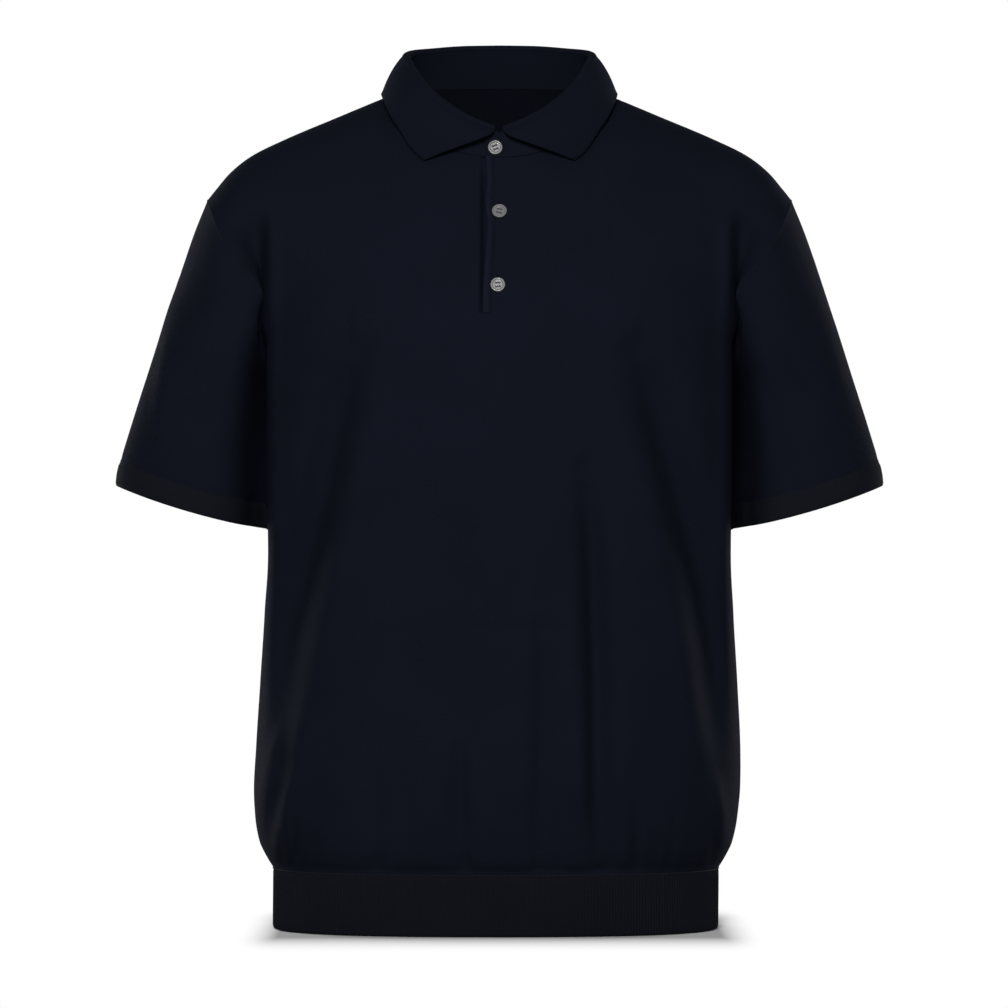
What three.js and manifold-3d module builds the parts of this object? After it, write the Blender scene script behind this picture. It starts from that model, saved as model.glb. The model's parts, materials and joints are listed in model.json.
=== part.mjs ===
// Short-sleeved fine-knit polo sweater, hollow, in the shape it takes when it is worn.
// Millimetres. +Z is up, the front faces -Y, +X is the wearer's left.
// The origin is the middle of the neck opening, level with the tops of the shoulders.
import * as THREE from "three";
import Module from "manifold-3d";

const WALL = 2; // knitted cloth
const SEAM = 0.3; // between two sewn pieces

// ---- driving sizes ----------------------------------------------------------------------
const HEM_Z = -705; // lower edge of the waist rib
const RIB_Z = -655; // where the rib is linked to the body
const UNDERARM_Z = -215;
const SIDE_Y = 8; // side seams, a little behind the middle
const ROUNDNESS = 2.4; // 2 is an ellipse, more is squarer
const PRESS_Y = 12; // level of the dent the hanging sleeve makes in each side
const PRESS_WIDTH = 38;

const NECK = { half: 86, sideZ: -3.5, sideY: 4, frontDrop: 59, frontOut: 76, backRise: 6.5, backOut: 56 };
const ARMHOLE = { topX: 245.5, topZ: -94, lowX: 187.6, y: 8, front: 66, back: 62 };
const SLIT = { left: -21.3, right: 12.3, w: 0.131 }; // placket opening in the front panel
const BAND = { half: 12, under: 2.45, underRight: 9, ramp: 7 };
const BUTTON = { radius: 6, thick: 2.6, dish: 0.8, rim: 1.3, hole: 0.8, holeAt: 1.55, sides: 18 };
const FOLD_RADIUS = 4; // outside of the roll of the collar

// Torso, from the rib up: half width, sideways shift, depth forward and back of the seams'
// plane, and how much the sleeve presses the side in.
const TORSO = table("z half shift front back press", [
  [-655, 186.6, -3, 108, 97, 0],
  [-646, 192.2, -3, 112.5, 100.5, 0],
  [-632, 198.8, -3, 116.5, 103.5, 0],
  [-612, 202.6, -2.7, 119, 105.5, 0],
  [-585, 204.4, -2, 119, 105, 0],
  [-550, 203.4, -1, 117, 102.5, 0],
  [-500, 200.6, -0.6, 114.5, 98.5, 0],
  [-440, 197.4, -0.4, 113, 96, 0.005],
  [-385, 196, 0, 114, 96.5, 0.045],
  [-330, 196, 0, 116.5, 98, 0.075],
  [-270, 196, 0, 119.5, 101, 0.08],
  [-215, 196, 0, 121, 104, 0.08],
]);
const TORSO_ROWS = [-655, -647, -636, -616, -585, -540, -480, -410, -340, -275, -215];
const RISE_ROWS = [SLIT.w, 0.25, 0.37, 0.49, 0.61, 0.72, 0.82, 0.92, 1];

// Ridge of the shoulder from the neck to the top of the sleeve seam.
const RIDGE = table("q x z", [
  [0, 86, -3.5],
  [0.28, 134, -23.5],
  [0.56, 182, -43.7],
  [0.72, 208.7, -57],
  [0.84, 226, -70.6],
  [0.93, 237.5, -84],
  [1, 245.5, -94],
]);
const RIDGE_STEPS = [0.14, 0.28, 0.42, 0.56, 0.68, 0.79, 0.89, 1];

// How far the sleeve seam bows towards the body, by height along it (-1 underarm, 1 top).
const ARMHOLE_BOW = table("e bow", [
  [-1, 0],
  [-0.7, 9],
  [-0.38, 10.9],
  [0.03, 3.7],
  [0.5, -1.7],
  [1, 0],
]);

// Sleeve: its outer and inner lines, depth front and back, and sag of the front and back edges.
const SLEEVE = table("t outX outZ inX inZ y front back sag", [
  [0, 245.5, -94, 188.2, -215, 8, 66, 62, 0],
  [0.12, 256.5, -120.5, 190.2, -231, 8.5, 64, 60, 0.5],
  [0.4, 276, -178.5, 191.4, -268, 10, 58, 55, 1.8],
  [0.7, 298.2, -245, 192, -308, 11, 52, 50.5, 3.2],
  [1, 319.6, -313.2, 191.5, -350.2, 12, 48, 47, 4.2],
]);
const SLEEVE_ROWS = [0, 0.07, 0.17, 0.32, 0.5, 0.75, 1];
const BESIDE = 1.3; // from the side of the body to the sleeve hanging against it
const CUFF = table("t outX outZ inX inZ y front back sag", [
  [0, 319.9, -314.1, 191.5, -351, 12, 48, 47, 4.2],
  [1, 323.4, -334, 190.6, -371.5, 12, 48.5, 47.5, 3.8],
]);

// Collar roll, from the centre front (0 degrees) round to the centre back (180).
const ROLL = table("phi x y z", [
  [0, 0, -67, -40.5],
  [8, 10.2, -66.5, -35.8],
  [20, 24.5, -63.5, -27],
  [35, 41.5, -55, -16.3],
  [50, 55, -43, -4.6],
  [65, 65.5, -27, 8],
  [80, 74, -7, 22.5],
  [90, 77.2, 7, 29.2],
  [110, 74, 27, 33.6],
  [135, 56, 46, 37],
  [160, 27, 57, 39.8],
  [180, 0, 60, 40.4],
]);
// Edge of the collar fall: across, and its place on the panel it rests on (1 is the ridge).
const EDGE = table("phi x w", [
  [8, 61.5, 0.865],
  [20, 67, 0.87],
  [33, 74, 0.885],
  [46, 81, 0.905],
  [60, 88, 0.925],
  [74, 94.2, 0.955],
  [90, 97.8, 1],
  [106, 95, 1.05],
  [122, 85, 1.06],
  [140, 65, 1.05],
  [160, 33, 1.045],
  [180, 0, 1.04],
]);
const FALL_STEPS = [8, 14, 21, 30, 40, 51, 63, 76, 88, 100, 114, 130, 147, 164, 180];

// ---- helpers ------------------------------------------------------------------------------
function table(names, rows) {
  const keys = names.split(" ");
  return rows.map((r) => Object.fromEntries(keys.map((k, i) => [k, r[i]])));
}

// A smooth curve through a table's rows, read at `at` on its first column.
function read(rows, at) {
  const keys = Object.keys(rows[0]);
  const key = keys[0];
  const last = rows.length - 1;
  const turn = rows[last][key] > rows[0][key] ? 1 : -1;
  let i = 0;
  while (i < last - 1 && (at - rows[i + 1][key]) * turn > 0) i++;
  const [a, b] = [rows[i], rows[i + 1]];
  const h = b[key] - a[key];
  const t = Math.min(1, Math.max(0, (at - a[key]) / h));
  const out = {};
  for (const k of keys) {
    const slope = (p, q) => (q[k] - p[k]) / (q[key] - p[key]);
    const own = slope(a, b);
    const blend = (s) => (s * own <= 0 ? 0 : (2 * s * own) / (s + own));
    const m0 = i > 0 ? blend(slope(rows[i - 1], a)) : own;
    const m1 = i < last - 1 ? blend(slope(b, rows[i + 2])) : own;
    out[k] =
      (2 * t ** 3 - 3 * t ** 2 + 1) * a[k] +
      (t ** 3 - 2 * t ** 2 + t) * h * m0 +
      (3 * t ** 2 - 2 * t ** 3) * b[k] +
      (t ** 3 - t ** 2) * h * m1;
  }
  return out;
}

const V = (x, y, z) => new THREE.Vector3(x, y, z);
const rad = THREE.MathUtils.degToRad;
const clamp = THREE.MathUtils.clamp;
const smooth = (a, b, x) => THREE.MathUtils.smoothstep(x, a, b);
const hermite = (a, b, ma, mb, t) =>
  a
    .clone()
    .multiplyScalar(2 * t ** 3 - 3 * t ** 2 + 1)
    .addScaledVector(ma, t ** 3 - 2 * t ** 2 + t)
    .addScaledVector(b, 3 * t ** 2 - 2 * t ** 3)
    .addScaledVector(mb, t ** 3 - t ** 2);

// ---- body surface ---------------------------------------------------------------------------
// side is -1 for the front panel, 1 for the back. f runs across from -1 to 1.
const widen = (row) => row.half / (1 - 0.48 * row.press);
const CHEST_HALF = widen(TORSO[TORSO.length - 1]);
const NECK_F = NECK.half / CHEST_HALF;
const angleOf = (f) => Math.asin(Math.min(1, Math.abs(f)) ** (ROUNDNESS / 2));
const NECK_ANGLE = angleOf(NECK_F);

function torso(side, f, z) {
  const row = read(TORSO, z);
  const depth = side < 0 ? row.front + SIDE_Y : row.back - SIDE_Y;
  const y = SIDE_Y + side * depth * Math.cos(angleOf(f)) ** (2 / ROUNDNESS);
  const press = row.press * Math.exp(-(((y - PRESS_Y) / PRESS_WIDTH) ** 2));
  return V(row.shift + widen(row) * f * (1 - press), y, z);
}

// How far out the side of the body stands at a given depth and height.
function sideOf(side, y, z) {
  const row = read(TORSO, z);
  const depth = side < 0 ? row.front + SIDE_Y : row.back - SIDE_Y;
  const c = Math.min(1, Math.max(0, side * (y - SIDE_Y)) / depth);
  const press = row.press * Math.exp(-(((y - PRESS_Y) / PRESS_WIDTH) ** 2));
  return widen(row) * (1 - c ** ROUNDNESS) ** (1 / ROUNDNESS) * (1 - press);
}

// Neck line by its angle from the centre front or back.
function neckLine(side, x) {
  const c = Math.sqrt(Math.max(0, 1 - (x / NECK.half) ** 2));
  return side < 0
    ? V(x, NECK.sideY - NECK.frontOut * c, NECK.sideZ - NECK.frontDrop * c)
    : V(x, NECK.sideY + NECK.backOut * c, NECK.sideZ + NECK.backRise * c);
}

function topLine(side, f) {
  if (Math.abs(f) <= NECK_F) return neckLine(side, f * CHEST_HALF);
  const q = (angleOf(f) - NECK_ANGLE) / (Math.PI / 2 - NECK_ANGLE);
  const r = read(RIDGE, q);
  return V(Math.sign(f) * r.x, NECK.sideY + (ARMHOLE.y - NECK.sideY) * q, r.z);
}

// Sleeve seam: a bowed ring between the top of the shoulder and the underarm.
// a is 0 at the top and pi at the underarm.
function armhole(sign, side, a) {
  const mid = V((ARMHOLE.topX + ARMHOLE.lowX) / 2, ARMHOLE.y, (ARMHOLE.topZ + UNDERARM_Z) / 2);
  const along = V(ARMHOLE.topX - ARMHOLE.lowX, 0, ARMHOLE.topZ - UNDERARM_Z);
  const h = along.length() / 2;
  along.normalize();
  const inward = V(-along.z, 0, along.x);
  const p = mid
    .addScaledVector(along, h * Math.cos(a))
    .addScaledVector(inward, read(ARMHOLE_BOW, Math.cos(a)).bow);
  p.y += side * (side < 0 ? ARMHOLE.front : ARMHOLE.back) * Math.sin(a);
  p.x = Math.max(p.x, sideOf(side, p.y, UNDERARM_Z) + 8 * smooth(0, 0.7, Math.sin(a)));
  p.x *= sign;
  return p;
}
// Outward at the sleeve seam: both pieces end square to it, so they stay apart.
function seamNormal(sign, side, a, own) {
  const radial = V(0.43 * Math.cos(a) * sign, side * Math.sin(a), 0.9 * Math.cos(a)).normalize();
  return own.lerp(radial, 1 - smooth(1.6, 2.4, a)).normalize();
}

// Above the underarm each column bends from the chest to the neck line or the ridge; the
// outer columns are drawn out to the sleeve seam. w is 0 at the underarm and 1 at the top.
function rise(side, f, w) {
  const column = (g) => {
    const low = torso(side, g, UNDERARM_Z);
    const top = topLine(side, g);
    const c = Math.sqrt(Math.max(0, 1 - Math.min(1, Math.abs(g) / NECK_F) ** 2));
    const up = V(0, 0, 1.12 * (top.z - UNDERARM_Z));
    const over = side < 0 ? V(0, 150 - 92 * c, 120 * c) : V(0, -150 + 85 * c, 185 * c);
    return hermite(low, top, up, over, w);
  };
  const p = column(f);
  const q = clamp((angleOf(f) - NECK_ANGLE) / (Math.PI / 2 - NECK_ANGLE), 0, 1);
  const sign = Math.sign(f) || 1;
  const pull = armhole(sign, side, Math.PI * (1 - w)).sub(column(sign));
  return p.addScaledVector(pull, q ** 4);
}

// The whole panel: v below 0 is height in mm under the underarm, above 0 the rise.
const body = (side, f, v) => (v <= 0 ? torso(side, f, UNDERARM_Z + v) : rise(side, f, v));

function normalOf(surface, u, v, du, dv) {
  const a = surface(u + du, v).sub(surface(u - du, v));
  const b = surface(u, v + dv).sub(surface(u, v - dv));
  return a.cross(b).normalize();
}
// Outward normal of a panel near its middle.
const panelNormal = (side, f, v) =>
  normalOf((s, t) => body(side, s, t), f, v, 0.004, 0.004).multiplyScalar(-side);

// ---- cloth ----------------------------------------------------------------------------------
// A closed shell of one wall under a grid of outer points. keep(i, j) says which cells stay.
function cloth(name, grid, material, { out = 1, ring = false, keep = () => true, fix = (i, j, n) => n } = {}) {
  const rows = grid.length;
  const cols = grid[0].length;
  const at = (i, j) => grid[i][ring ? (j + cols) % cols : clamp(j, 0, cols - 1)];
  const verts = [];
  for (const layer of [0, 1])
    for (let i = 0; i < rows; i++)
      for (let j = 0; j < cols; j++) {
        const u = at(i, j + 1).clone().sub(at(i, j - 1));
        const v = at(Math.min(i + 1, rows - 1), j).clone().sub(at(Math.max(i - 1, 0), j));
        const n = fix(i, j, u.cross(v).normalize().multiplyScalar(out));
        verts.push(at(i, j).clone().addScaledVector(n, -WALL * layer));
      }
  const id = (i, j, layer) => layer * rows * cols + i * cols + ((j + cols) % cols);
  const cells = ring ? cols : cols - 1;
  const kept = (i, j) => {
    if (i < 0 || i >= rows - 1) return false;
    if (!ring && (j < 0 || j >= cells)) return false;
    return keep(i, (j + cells) % cells);
  };
  const faces = [];
  const quad = (a, b, c, d) => faces.push(...(out > 0 ? [a, b, c, a, c, d] : [c, b, a, d, c, a]));
  for (let i = 0; i < rows - 1; i++)
    for (let j = 0; j < cells; j++) {
      if (!kept(i, j)) continue;
      const [a, b, c, d] = [[i, j], [i, j + 1], [i + 1, j + 1], [i + 1, j]];
      quad(id(...a, 0), id(...b, 0), id(...c, 0), id(...d, 0));
      quad(id(...d, 1), id(...c, 1), id(...b, 1), id(...a, 1));
      const edge = (p, q) => quad(id(...q, 0), id(...p, 0), id(...p, 1), id(...q, 1));
      if (!kept(i - 1, j)) edge(a, b);
      if (!kept(i, j + 1)) edge(b, c);
      if (!kept(i + 1, j)) edge(c, d);
      if (!kept(i, j - 1)) edge(d, a);
    }
  const geometry = new THREE.BufferGeometry();
  geometry.setAttribute(
    "position",
    new THREE.Float32BufferAttribute(verts.flatMap((p) => [p.x, p.y, p.z]), 3),
  );
  geometry.setIndex(faces);
  geometry.computeVertexNormals();
  const mesh = new THREE.Mesh(geometry, material);
  mesh.name = name;
  return mesh;
}

const knit = (color) => new THREE.MeshStandardMaterial({ color, roughness: 0.9 });
const group = new THREE.Group();

// ---- front and back panels --------------------------------------------------------------------
const shoulderColumns = RIDGE_STEPS.map((q) => {
  const angle = NECK_ANGLE + q * (Math.PI / 2 - NECK_ANGLE);
  return Math.sin(angle) ** (2 / ROUNDNESS);
});
function columns(middle) {
  const neck = [40.5, 57, 70, 79, 84.5, NECK.half].map((x) => x / CHEST_HALF);
  const right = [...neck, ...shoulderColumns];
  return [...right.map((f) => -f).reverse(), ...middle.map((x) => x / CHEST_HALF), ...right];
}
function panel(name, side, middle, keep) {
  const fs = columns(middle);
  const half = V(0, (side * SEAM) / 2, 0);
  const rows = [
    ...TORSO_ROWS.map((z) => fs.map((f) => torso(side, f, z).add(half))),
    ...RISE_ROWS.map((w) => fs.map((f) => rise(side, f, w).add(half))),
  ];
  rows[0].forEach((p) => (p.z += SEAM / 2));
  const cellX = (j) => ((fs[j] + fs[j + 1]) / 2) * CHEST_HALF;
  const last = rows.length - 1;
  const under = TORSO_ROWS.length - 1;
  return cloth(name, rows, knit(0x1b2030), {
    out: -side,
    // Side, shoulder and sleeve seams end square, so that the next piece can meet them.
    fix(i, j, n) {
      const outer = j === 0 || j === fs.length - 1;
      if ((i === last && Math.abs(fs[j]) > NECK_F - 1e-6) || (outer && i <= under)) n.y = 0;
      else if (outer) {
        const w = RISE_ROWS[i - under - 1];
        const sign = Math.sign(fs[j]);
        return seamNormal(sign, side, Math.PI * (1 - w), V(sign, side * 0.15, 0));
      }
      return n.normalize();
    },
    keep: (i, j) => keep(i - TORSO_ROWS.length + 1, cellX(j)),
  });
}
group.add(
  panel("front_panel", -1, [SLIT.left, -4.5, SLIT.right, 26], (i, x) => {
    return !(i > 0 && x > SLIT.left && x < SLIT.right);
  }),
);
group.add(panel("back_panel", 1, [-21, 0, 21], () => true));

// ---- placket ------------------------------------------------------------------------------------
// The bands follow the front panel's own surface, moved in where one passes under the other.
const bandRows = [0.1335, ...RISE_ROWS.slice(1)];
function band(name, xs, depth) {
  const rows = bandRows.map((w) =>
    xs.map((x) => {
      const f = x / CHEST_HALF;
      const n = panelNormal(-1, f, Math.min(w, 0.98));
      return rise(-1, f, w).addScaledVector(n, -depth(x)).add(V(0, -SEAM / 2, 0));
    }),
  );
  return cloth(name, rows, knit(0x1c2131));
}
const tuck = (x) => BAND.under * smooth(SLIT.left, SLIT.left + BAND.ramp, x);
group.add(band("placket_over", [-BAND.half, -4, 4, BAND.half], () => 0));
group.add(band("placket_under", [-20.1, -17.5, -14.3, -4, BAND.underRight], tuck));

// ---- sleeves and their hem bands ------------------------------------------------------------------
// Angles round the sleeve from its top, forward first: the front and back panels' own rows.
const down = [...RISE_ROWS].reverse().map((w) => Math.PI * (1 - w));
const AROUND = [...down, Math.PI, ...down.slice(1).reverse().map((a) => 2 * Math.PI - a)];
function sleeveRing(rows, sign, t) {
  const r = read(rows, t);
  const mid = V((r.outX + r.inX) / 2, r.y, (r.outZ + r.inZ) / 2);
  const half = V((r.outX - r.inX) / 2, 0, (r.outZ - r.inZ) / 2);
  return AROUND.map((a) => {
    const p = mid.clone().addScaledVector(half, Math.cos(a));
    p.y -= Math.sin(a) * (Math.sin(a) > 0 ? r.front : r.back);
    p.z -= r.sag * Math.sin(a) ** 2;
    if (p.x < mid.x && p.z < -150) {
      const body = sideOf(Math.sin(a) > 0 ? -1 : 1, p.y, Math.min(p.z, UNDERARM_Z));
      p.x = Math.max(p.x, body + BESIDE + 9 * smooth(-275, -220, p.z) * Math.abs(Math.sin(a)));
    }
    p.x *= sign;
    return p;
  });
}
function sleeveRows(sign) {
  return SLEEVE_ROWS.map((t) =>
    sleeveRing(SLEEVE, sign, t).map((p, k) => {
      const a = AROUND[k];
      const side = a < Math.PI ? -1 : 1;
      const folded = Math.acos(Math.cos(a));
      // The first rows take up the bow of the seam; below them the sleeve hangs as a plain tube.
      const seam = armhole(sign, side, folded);
      const plain = sleeveRing(SLEEVE, sign, 0)[k];
      const fade = (1 - clamp(t / 0.3, 0, 1)) ** 2;
      const fold = 3 * Math.exp(-(((folded - 2.3) / 0.4) ** 2)); // round the fold of the panel
      const gap = 0.5 + 0.25 * (1 - Math.cos(a)) + (t < 0.3 ? fold : 0);
      return p.addScaledVector(seam.sub(plain), fade).add(V(sign * gap * 0.9, 0, -gap * 0.4));
    }),
  );
}
for (const [word, sign] of [["left", 1], ["right", -1]]) {
  const out = sign;
  const fix = (i, k, n) => {
    if (i > 0) return n;
    const a = AROUND[k];
    return seamNormal(sign, a < Math.PI ? -1 : 1, Math.min(a, 2 * Math.PI - a), n);
  };
  group.add(cloth("sleeve_" + word, sleeveRows(sign), knit(0x1c2132), { out, ring: true, fix }));
  const cuff = [0, 1].map((t) => sleeveRing(CUFF, sign, t));
  group.add(cloth("cuff_" + word, cuff, knit(0x1e2232), { out, ring: true }));
}

// ---- waist rib ------------------------------------------------------------------------------------
const ribAngles = Array.from({ length: 40 }, (_, k) => (k / 40) * 2 * Math.PI);
const ribRows = [HEM_Z, HEM_Z + 4, RIB_Z - SEAM / 2].map((z) =>
  ribAngles.map((a) => {
    const side = Math.cos(a) > 0 ? -1 : 1;
    const f = Math.sign(Math.sin(a)) * Math.abs(Math.sin(a)) ** (2 / ROUNDNESS);
    const p = torso(side, f, RIB_Z);
    const tuckIn = z === HEM_Z ? 0.4 : 0;
    return V(p.x * (1 - tuckIn / 190), p.y * (1 - tuckIn / 110) + side * (SEAM / 2), z);
  }),
);
group.add(cloth("waist_rib", ribRows, knit(0x1c2030), { ring: true }));

// ---- collar stand -----------------------------------------------------------------------------------
function neckAt(phi) {
  return neckLine(Math.abs(phi) <= 90 ? -1 : 1, NECK.half * Math.sin(rad(phi)));
}
function rollAt(phi) {
  const r = read(ROLL, Math.abs(phi));
  return V(Math.sign(phi) * r.x, r.y, r.z);
}
// Up the stand, and outwards from the neck, at one station.
function standFrame(phi) {
  const up = rollAt(phi).sub(neckAt(phi)).normalize();
  const along = rollAt(phi + 2).sub(rollAt(phi - 2));
  if (Math.abs(phi) > 176) along.set(-1, 0, 0);
  const outward = along.cross(up).normalize();
  return { up, outward, centre: rollAt(phi).addScaledVector(up, -FOLD_RADIUS) };
}
const OVER_END = -8.2; // degrees past the centre front
const UNDER_END = 6.5;
function standPoint(phi, s, over) {
  const { outward, centre } = standFrame(phi);
  const low = neckAt(phi);
  const top = centre.addScaledVector(outward, -(FOLD_RADIUS - WALL));
  const along = top.clone().sub(low);
  const lift = 1.15 / along.length();
  const drop = 0.55 / along.length();
  const cut = over ? 9.5 * smooth(-3.4, OVER_END, phi) ** 1.4 : 0; // rounded front corner
  const t = lift + (1 - lift - drop - cut / along.length()) * s;
  const inset = over ? 0 : BAND.under * smooth(-24, -10, phi);
  return low.addScaledVector(along, t).addScaledVector(outward, -inset);
}
const overPhi = [OVER_END, -6.6, -4.6, -2, 3, 9, 16, 24, 33, 43, 54, 66, 78, 90, 103, 117, 132, 148, 164];
const underPhi = [-180, -164, -148, -132, -117, -103, -90, -78, -66, -54, -43, -33, -24, -17, -10, -4, 1.5];
const standRows = [0, 0.5, 1].map((s) => [
  ...overPhi.map((phi) => standPoint(phi, s, true)),
  ...[...underPhi, UNDER_END].map((phi) => standPoint(phi, s, false)),
]);
group.add(cloth("collar_stand", standRows, knit(0x20263a)));

// ---- collar fall ------------------------------------------------------------------------------------
// Point on a panel at a given distance across and height w, lifted off its surface.
function onPanel(x, place, lift) {
  const side = place <= 1 ? -1 : 1;
  const w = side < 0 ? place : 2 - place;
  let [lo, hi] = [0, 1];
  for (let k = 0; k < 40; k++) {
    const mid = (lo + hi) / 2;
    if (rise(side, mid, w).x < Math.abs(x)) lo = mid;
    else hi = mid;
  }
  const f = lo * (Math.sign(x) || 1);
  const n = panelNormal(side, f, Math.min(w, 0.97));
  if (Math.abs(place - 1) < 0.04) n.lerp(V(0.38 * Math.sign(x), 0, 0.92), 1 - Math.abs(place - 1) / 0.04);
  return rise(side, f, w).addScaledVector(n.normalize(), lift);
}
function fallColumn(phi) {
  const { up, outward, centre } = standFrame(phi);
  const e = read(EDGE, Math.abs(phi));
  const clear = WALL + 1.8 + 6.2 * Math.exp(-(((Math.abs(phi) - 82) / 16) ** 2));
  const edge = onPanel((Math.sign(phi) || 1) * e.x, e.w, clear);
  const points = [0, 45, 90, 135, 180].map((deg) =>
    centre
      .clone()
      .addScaledVector(outward, -FOLD_RADIUS * Math.cos(rad(deg)))
      .addScaledVector(up, FOLD_RADIUS * Math.sin(rad(deg))),
  );
  const start = points[4];
  const reach = edge.distanceTo(start);
  const leave = up.clone().multiplyScalar(-0.5 * reach).addScaledVector(outward, 0.72 * reach);
  const arrive = edge.clone().sub(start).addScaledVector(outward, -0.48 * reach);
  for (const t of [0.25, 0.5, 0.75, 1]) points.push(hermite(start, edge, leave, arrive, t));
  return points;
}
const fallPhi = [...FALL_STEPS, ...FALL_STEPS.slice(0, -1).reverse().map((p) => -p)];
const fallColumns = fallPhi.map(fallColumn);
const fallRows = fallColumns[0].map((_, i) => fallColumns.map((c) => c[i]));
const square = (i, j, n) => (i ? n : standFrame(fallPhi[j]).outward.negate());
group.add(cloth("collar_fall", fallRows, knit(0x242b42), { out: -1, fix: square }));

// ---- buttons ------------------------------------------------------------------------------------------
const wasm = await Module();
wasm.setup();
function buttonGeometry() {
  const { radius: r, thick: h, dish, rim, hole, holeAt, sides } = BUTTON;
  const profile = [[0, 0], [r - 1, 0], [r, 0.9], [r, h - 0.7], [r - 0.6, h], [r - rim, h - 0.25]];
  profile.push([r - rim - 0.9, h - dish], [0, h - dish]);
  let solid = wasm.Manifold.revolve(new wasm.CrossSection([profile]), sides);
  for (const [x, y] of [[1, 1], [-1, 1], [-1, -1], [1, -1]]) {
    const drill = wasm.Manifold.cylinder(h + 2, hole, hole, 6);
    solid = solid.subtract(drill.translate([x * holeAt, y * holeAt, -1]));
  }
  const mesh = solid.getMesh();
  const g = new THREE.BufferGeometry();
  g.setAttribute("position", new THREE.Float32BufferAttribute(mesh.vertProperties, 3));
  g.setIndex([...mesh.triVerts]);
  g.computeVertexNormals();
  return g;
}
const horn = new THREE.MeshStandardMaterial({ color: 0x8b8d8c, roughness: 0.35 });
function button(name, at, normal) {
  const mesh = new THREE.Mesh(buttonGeometry(), horn.clone());
  mesh.name = name;
  mesh.quaternion.setFromUnitVectors(V(0, 0, 1), normal);
  mesh.position.copy(at).addScaledVector(normal, SEAM);
  group.add(mesh);
}
function placketAt(x, z) {
  let [lo, hi] = [0, 1];
  for (let k = 0; k < 40; k++) {
    const mid = (lo + hi) / 2;
    if (rise(-1, x / CHEST_HALF, mid).z < z) lo = mid;
    else hi = mid;
  }
  return { at: rise(-1, x / CHEST_HALF, lo).add(V(0, -SEAM / 2, 0)), w: lo };
}
const neckFrame = standFrame(-2.5);
button("button_collar", standPoint(-2.5, 0.52, true).addScaledVector(neckFrame.outward, 0.6), neckFrame.outward);
for (const [name, x, z] of [["button_upper", 0, -108.6], ["button_lower", -1.3, -169.8]]) {
  const { at, w } = placketAt(x, z);
  button(name, at, panelNormal(-1, x / CHEST_HALF, w));
}

export default group;
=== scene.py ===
"""A short-sleeved fine-knit polo sweater, hollow, in the shape it takes when it is worn."""

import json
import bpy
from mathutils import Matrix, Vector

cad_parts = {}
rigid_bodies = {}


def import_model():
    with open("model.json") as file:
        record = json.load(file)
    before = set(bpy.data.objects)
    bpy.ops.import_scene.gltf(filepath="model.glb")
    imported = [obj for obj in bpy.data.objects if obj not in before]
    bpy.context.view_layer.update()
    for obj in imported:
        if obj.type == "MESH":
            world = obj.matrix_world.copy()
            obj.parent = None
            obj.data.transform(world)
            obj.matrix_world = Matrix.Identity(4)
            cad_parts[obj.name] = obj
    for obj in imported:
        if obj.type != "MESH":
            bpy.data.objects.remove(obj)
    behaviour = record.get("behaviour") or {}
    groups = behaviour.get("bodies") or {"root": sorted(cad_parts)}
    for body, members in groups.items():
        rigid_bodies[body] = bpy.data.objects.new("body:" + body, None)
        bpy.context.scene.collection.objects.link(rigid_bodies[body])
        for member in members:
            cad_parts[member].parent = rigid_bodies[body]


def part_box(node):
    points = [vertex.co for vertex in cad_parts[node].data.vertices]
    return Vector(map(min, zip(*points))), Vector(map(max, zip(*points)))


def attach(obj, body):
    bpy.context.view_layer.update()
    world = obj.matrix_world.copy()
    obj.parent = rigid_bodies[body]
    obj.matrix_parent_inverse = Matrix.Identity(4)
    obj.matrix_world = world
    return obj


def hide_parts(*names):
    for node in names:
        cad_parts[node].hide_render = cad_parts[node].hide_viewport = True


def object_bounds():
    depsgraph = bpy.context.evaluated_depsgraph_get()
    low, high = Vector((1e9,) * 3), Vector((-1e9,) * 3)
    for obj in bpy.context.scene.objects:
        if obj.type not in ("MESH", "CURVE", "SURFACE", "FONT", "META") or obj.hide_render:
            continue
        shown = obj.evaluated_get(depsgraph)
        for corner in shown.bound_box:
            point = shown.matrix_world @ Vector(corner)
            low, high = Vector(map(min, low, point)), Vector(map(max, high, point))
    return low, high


bl_info = {
    "name": "Knit Polo Sweater",
    "version": (1, 0, 0),
    "blender": (4, 5, 0),
    "location": "View3D > Sidebar > Sweater",
    "description": "Builds a fine-knit polo sweater with its collar, placket, ribs and buttons",
    "category": "Object",
}

import bpy
import numpy as np
from mathutils import Matrix, Vector
from mathutils.bvhtree import BVHTree

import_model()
CAD_BOX = [[float(c) for c in corner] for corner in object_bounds()]

MM = 0.001  # tables below are in millimetres
FRONT, BACK = -1, 1
WALL = 1.7
REVERSE_V = 50.0  # metres added to the knit map on the cloth's inner face

# ---- the shape, as the frame has it ---------------------------------------------------------
HEM_Z, RIB_Z, UNDERARM_Z = -705.0, -655.0, -215.0
SIDE_Y, ROUNDNESS = 8.0, 2.4
PRESS_Y, PRESS_WIDTH = 12.0, 38.0
NECK_HALF, NECK_Z, NECK_Y = 86.0, -3.5, 4.0
NECK_DROP, NECK_OUT, NECK_RISE, NECK_BACK = 59.0, 76.0, 6.5, 56.0
ARM_TOP, ARM_LOW = (245.5, -94.0), (187.6, UNDERARM_Z)
ARM_Y, ARM_FRONT, ARM_BACK = 8.0, 66.0, 62.0
SLIT_LEFT, SLIT_RIGHT, SLIT_W = -21.3, 12.3, 0.131
FOLD_RADIUS = 4.0
BESIDE = 1.3

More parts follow.
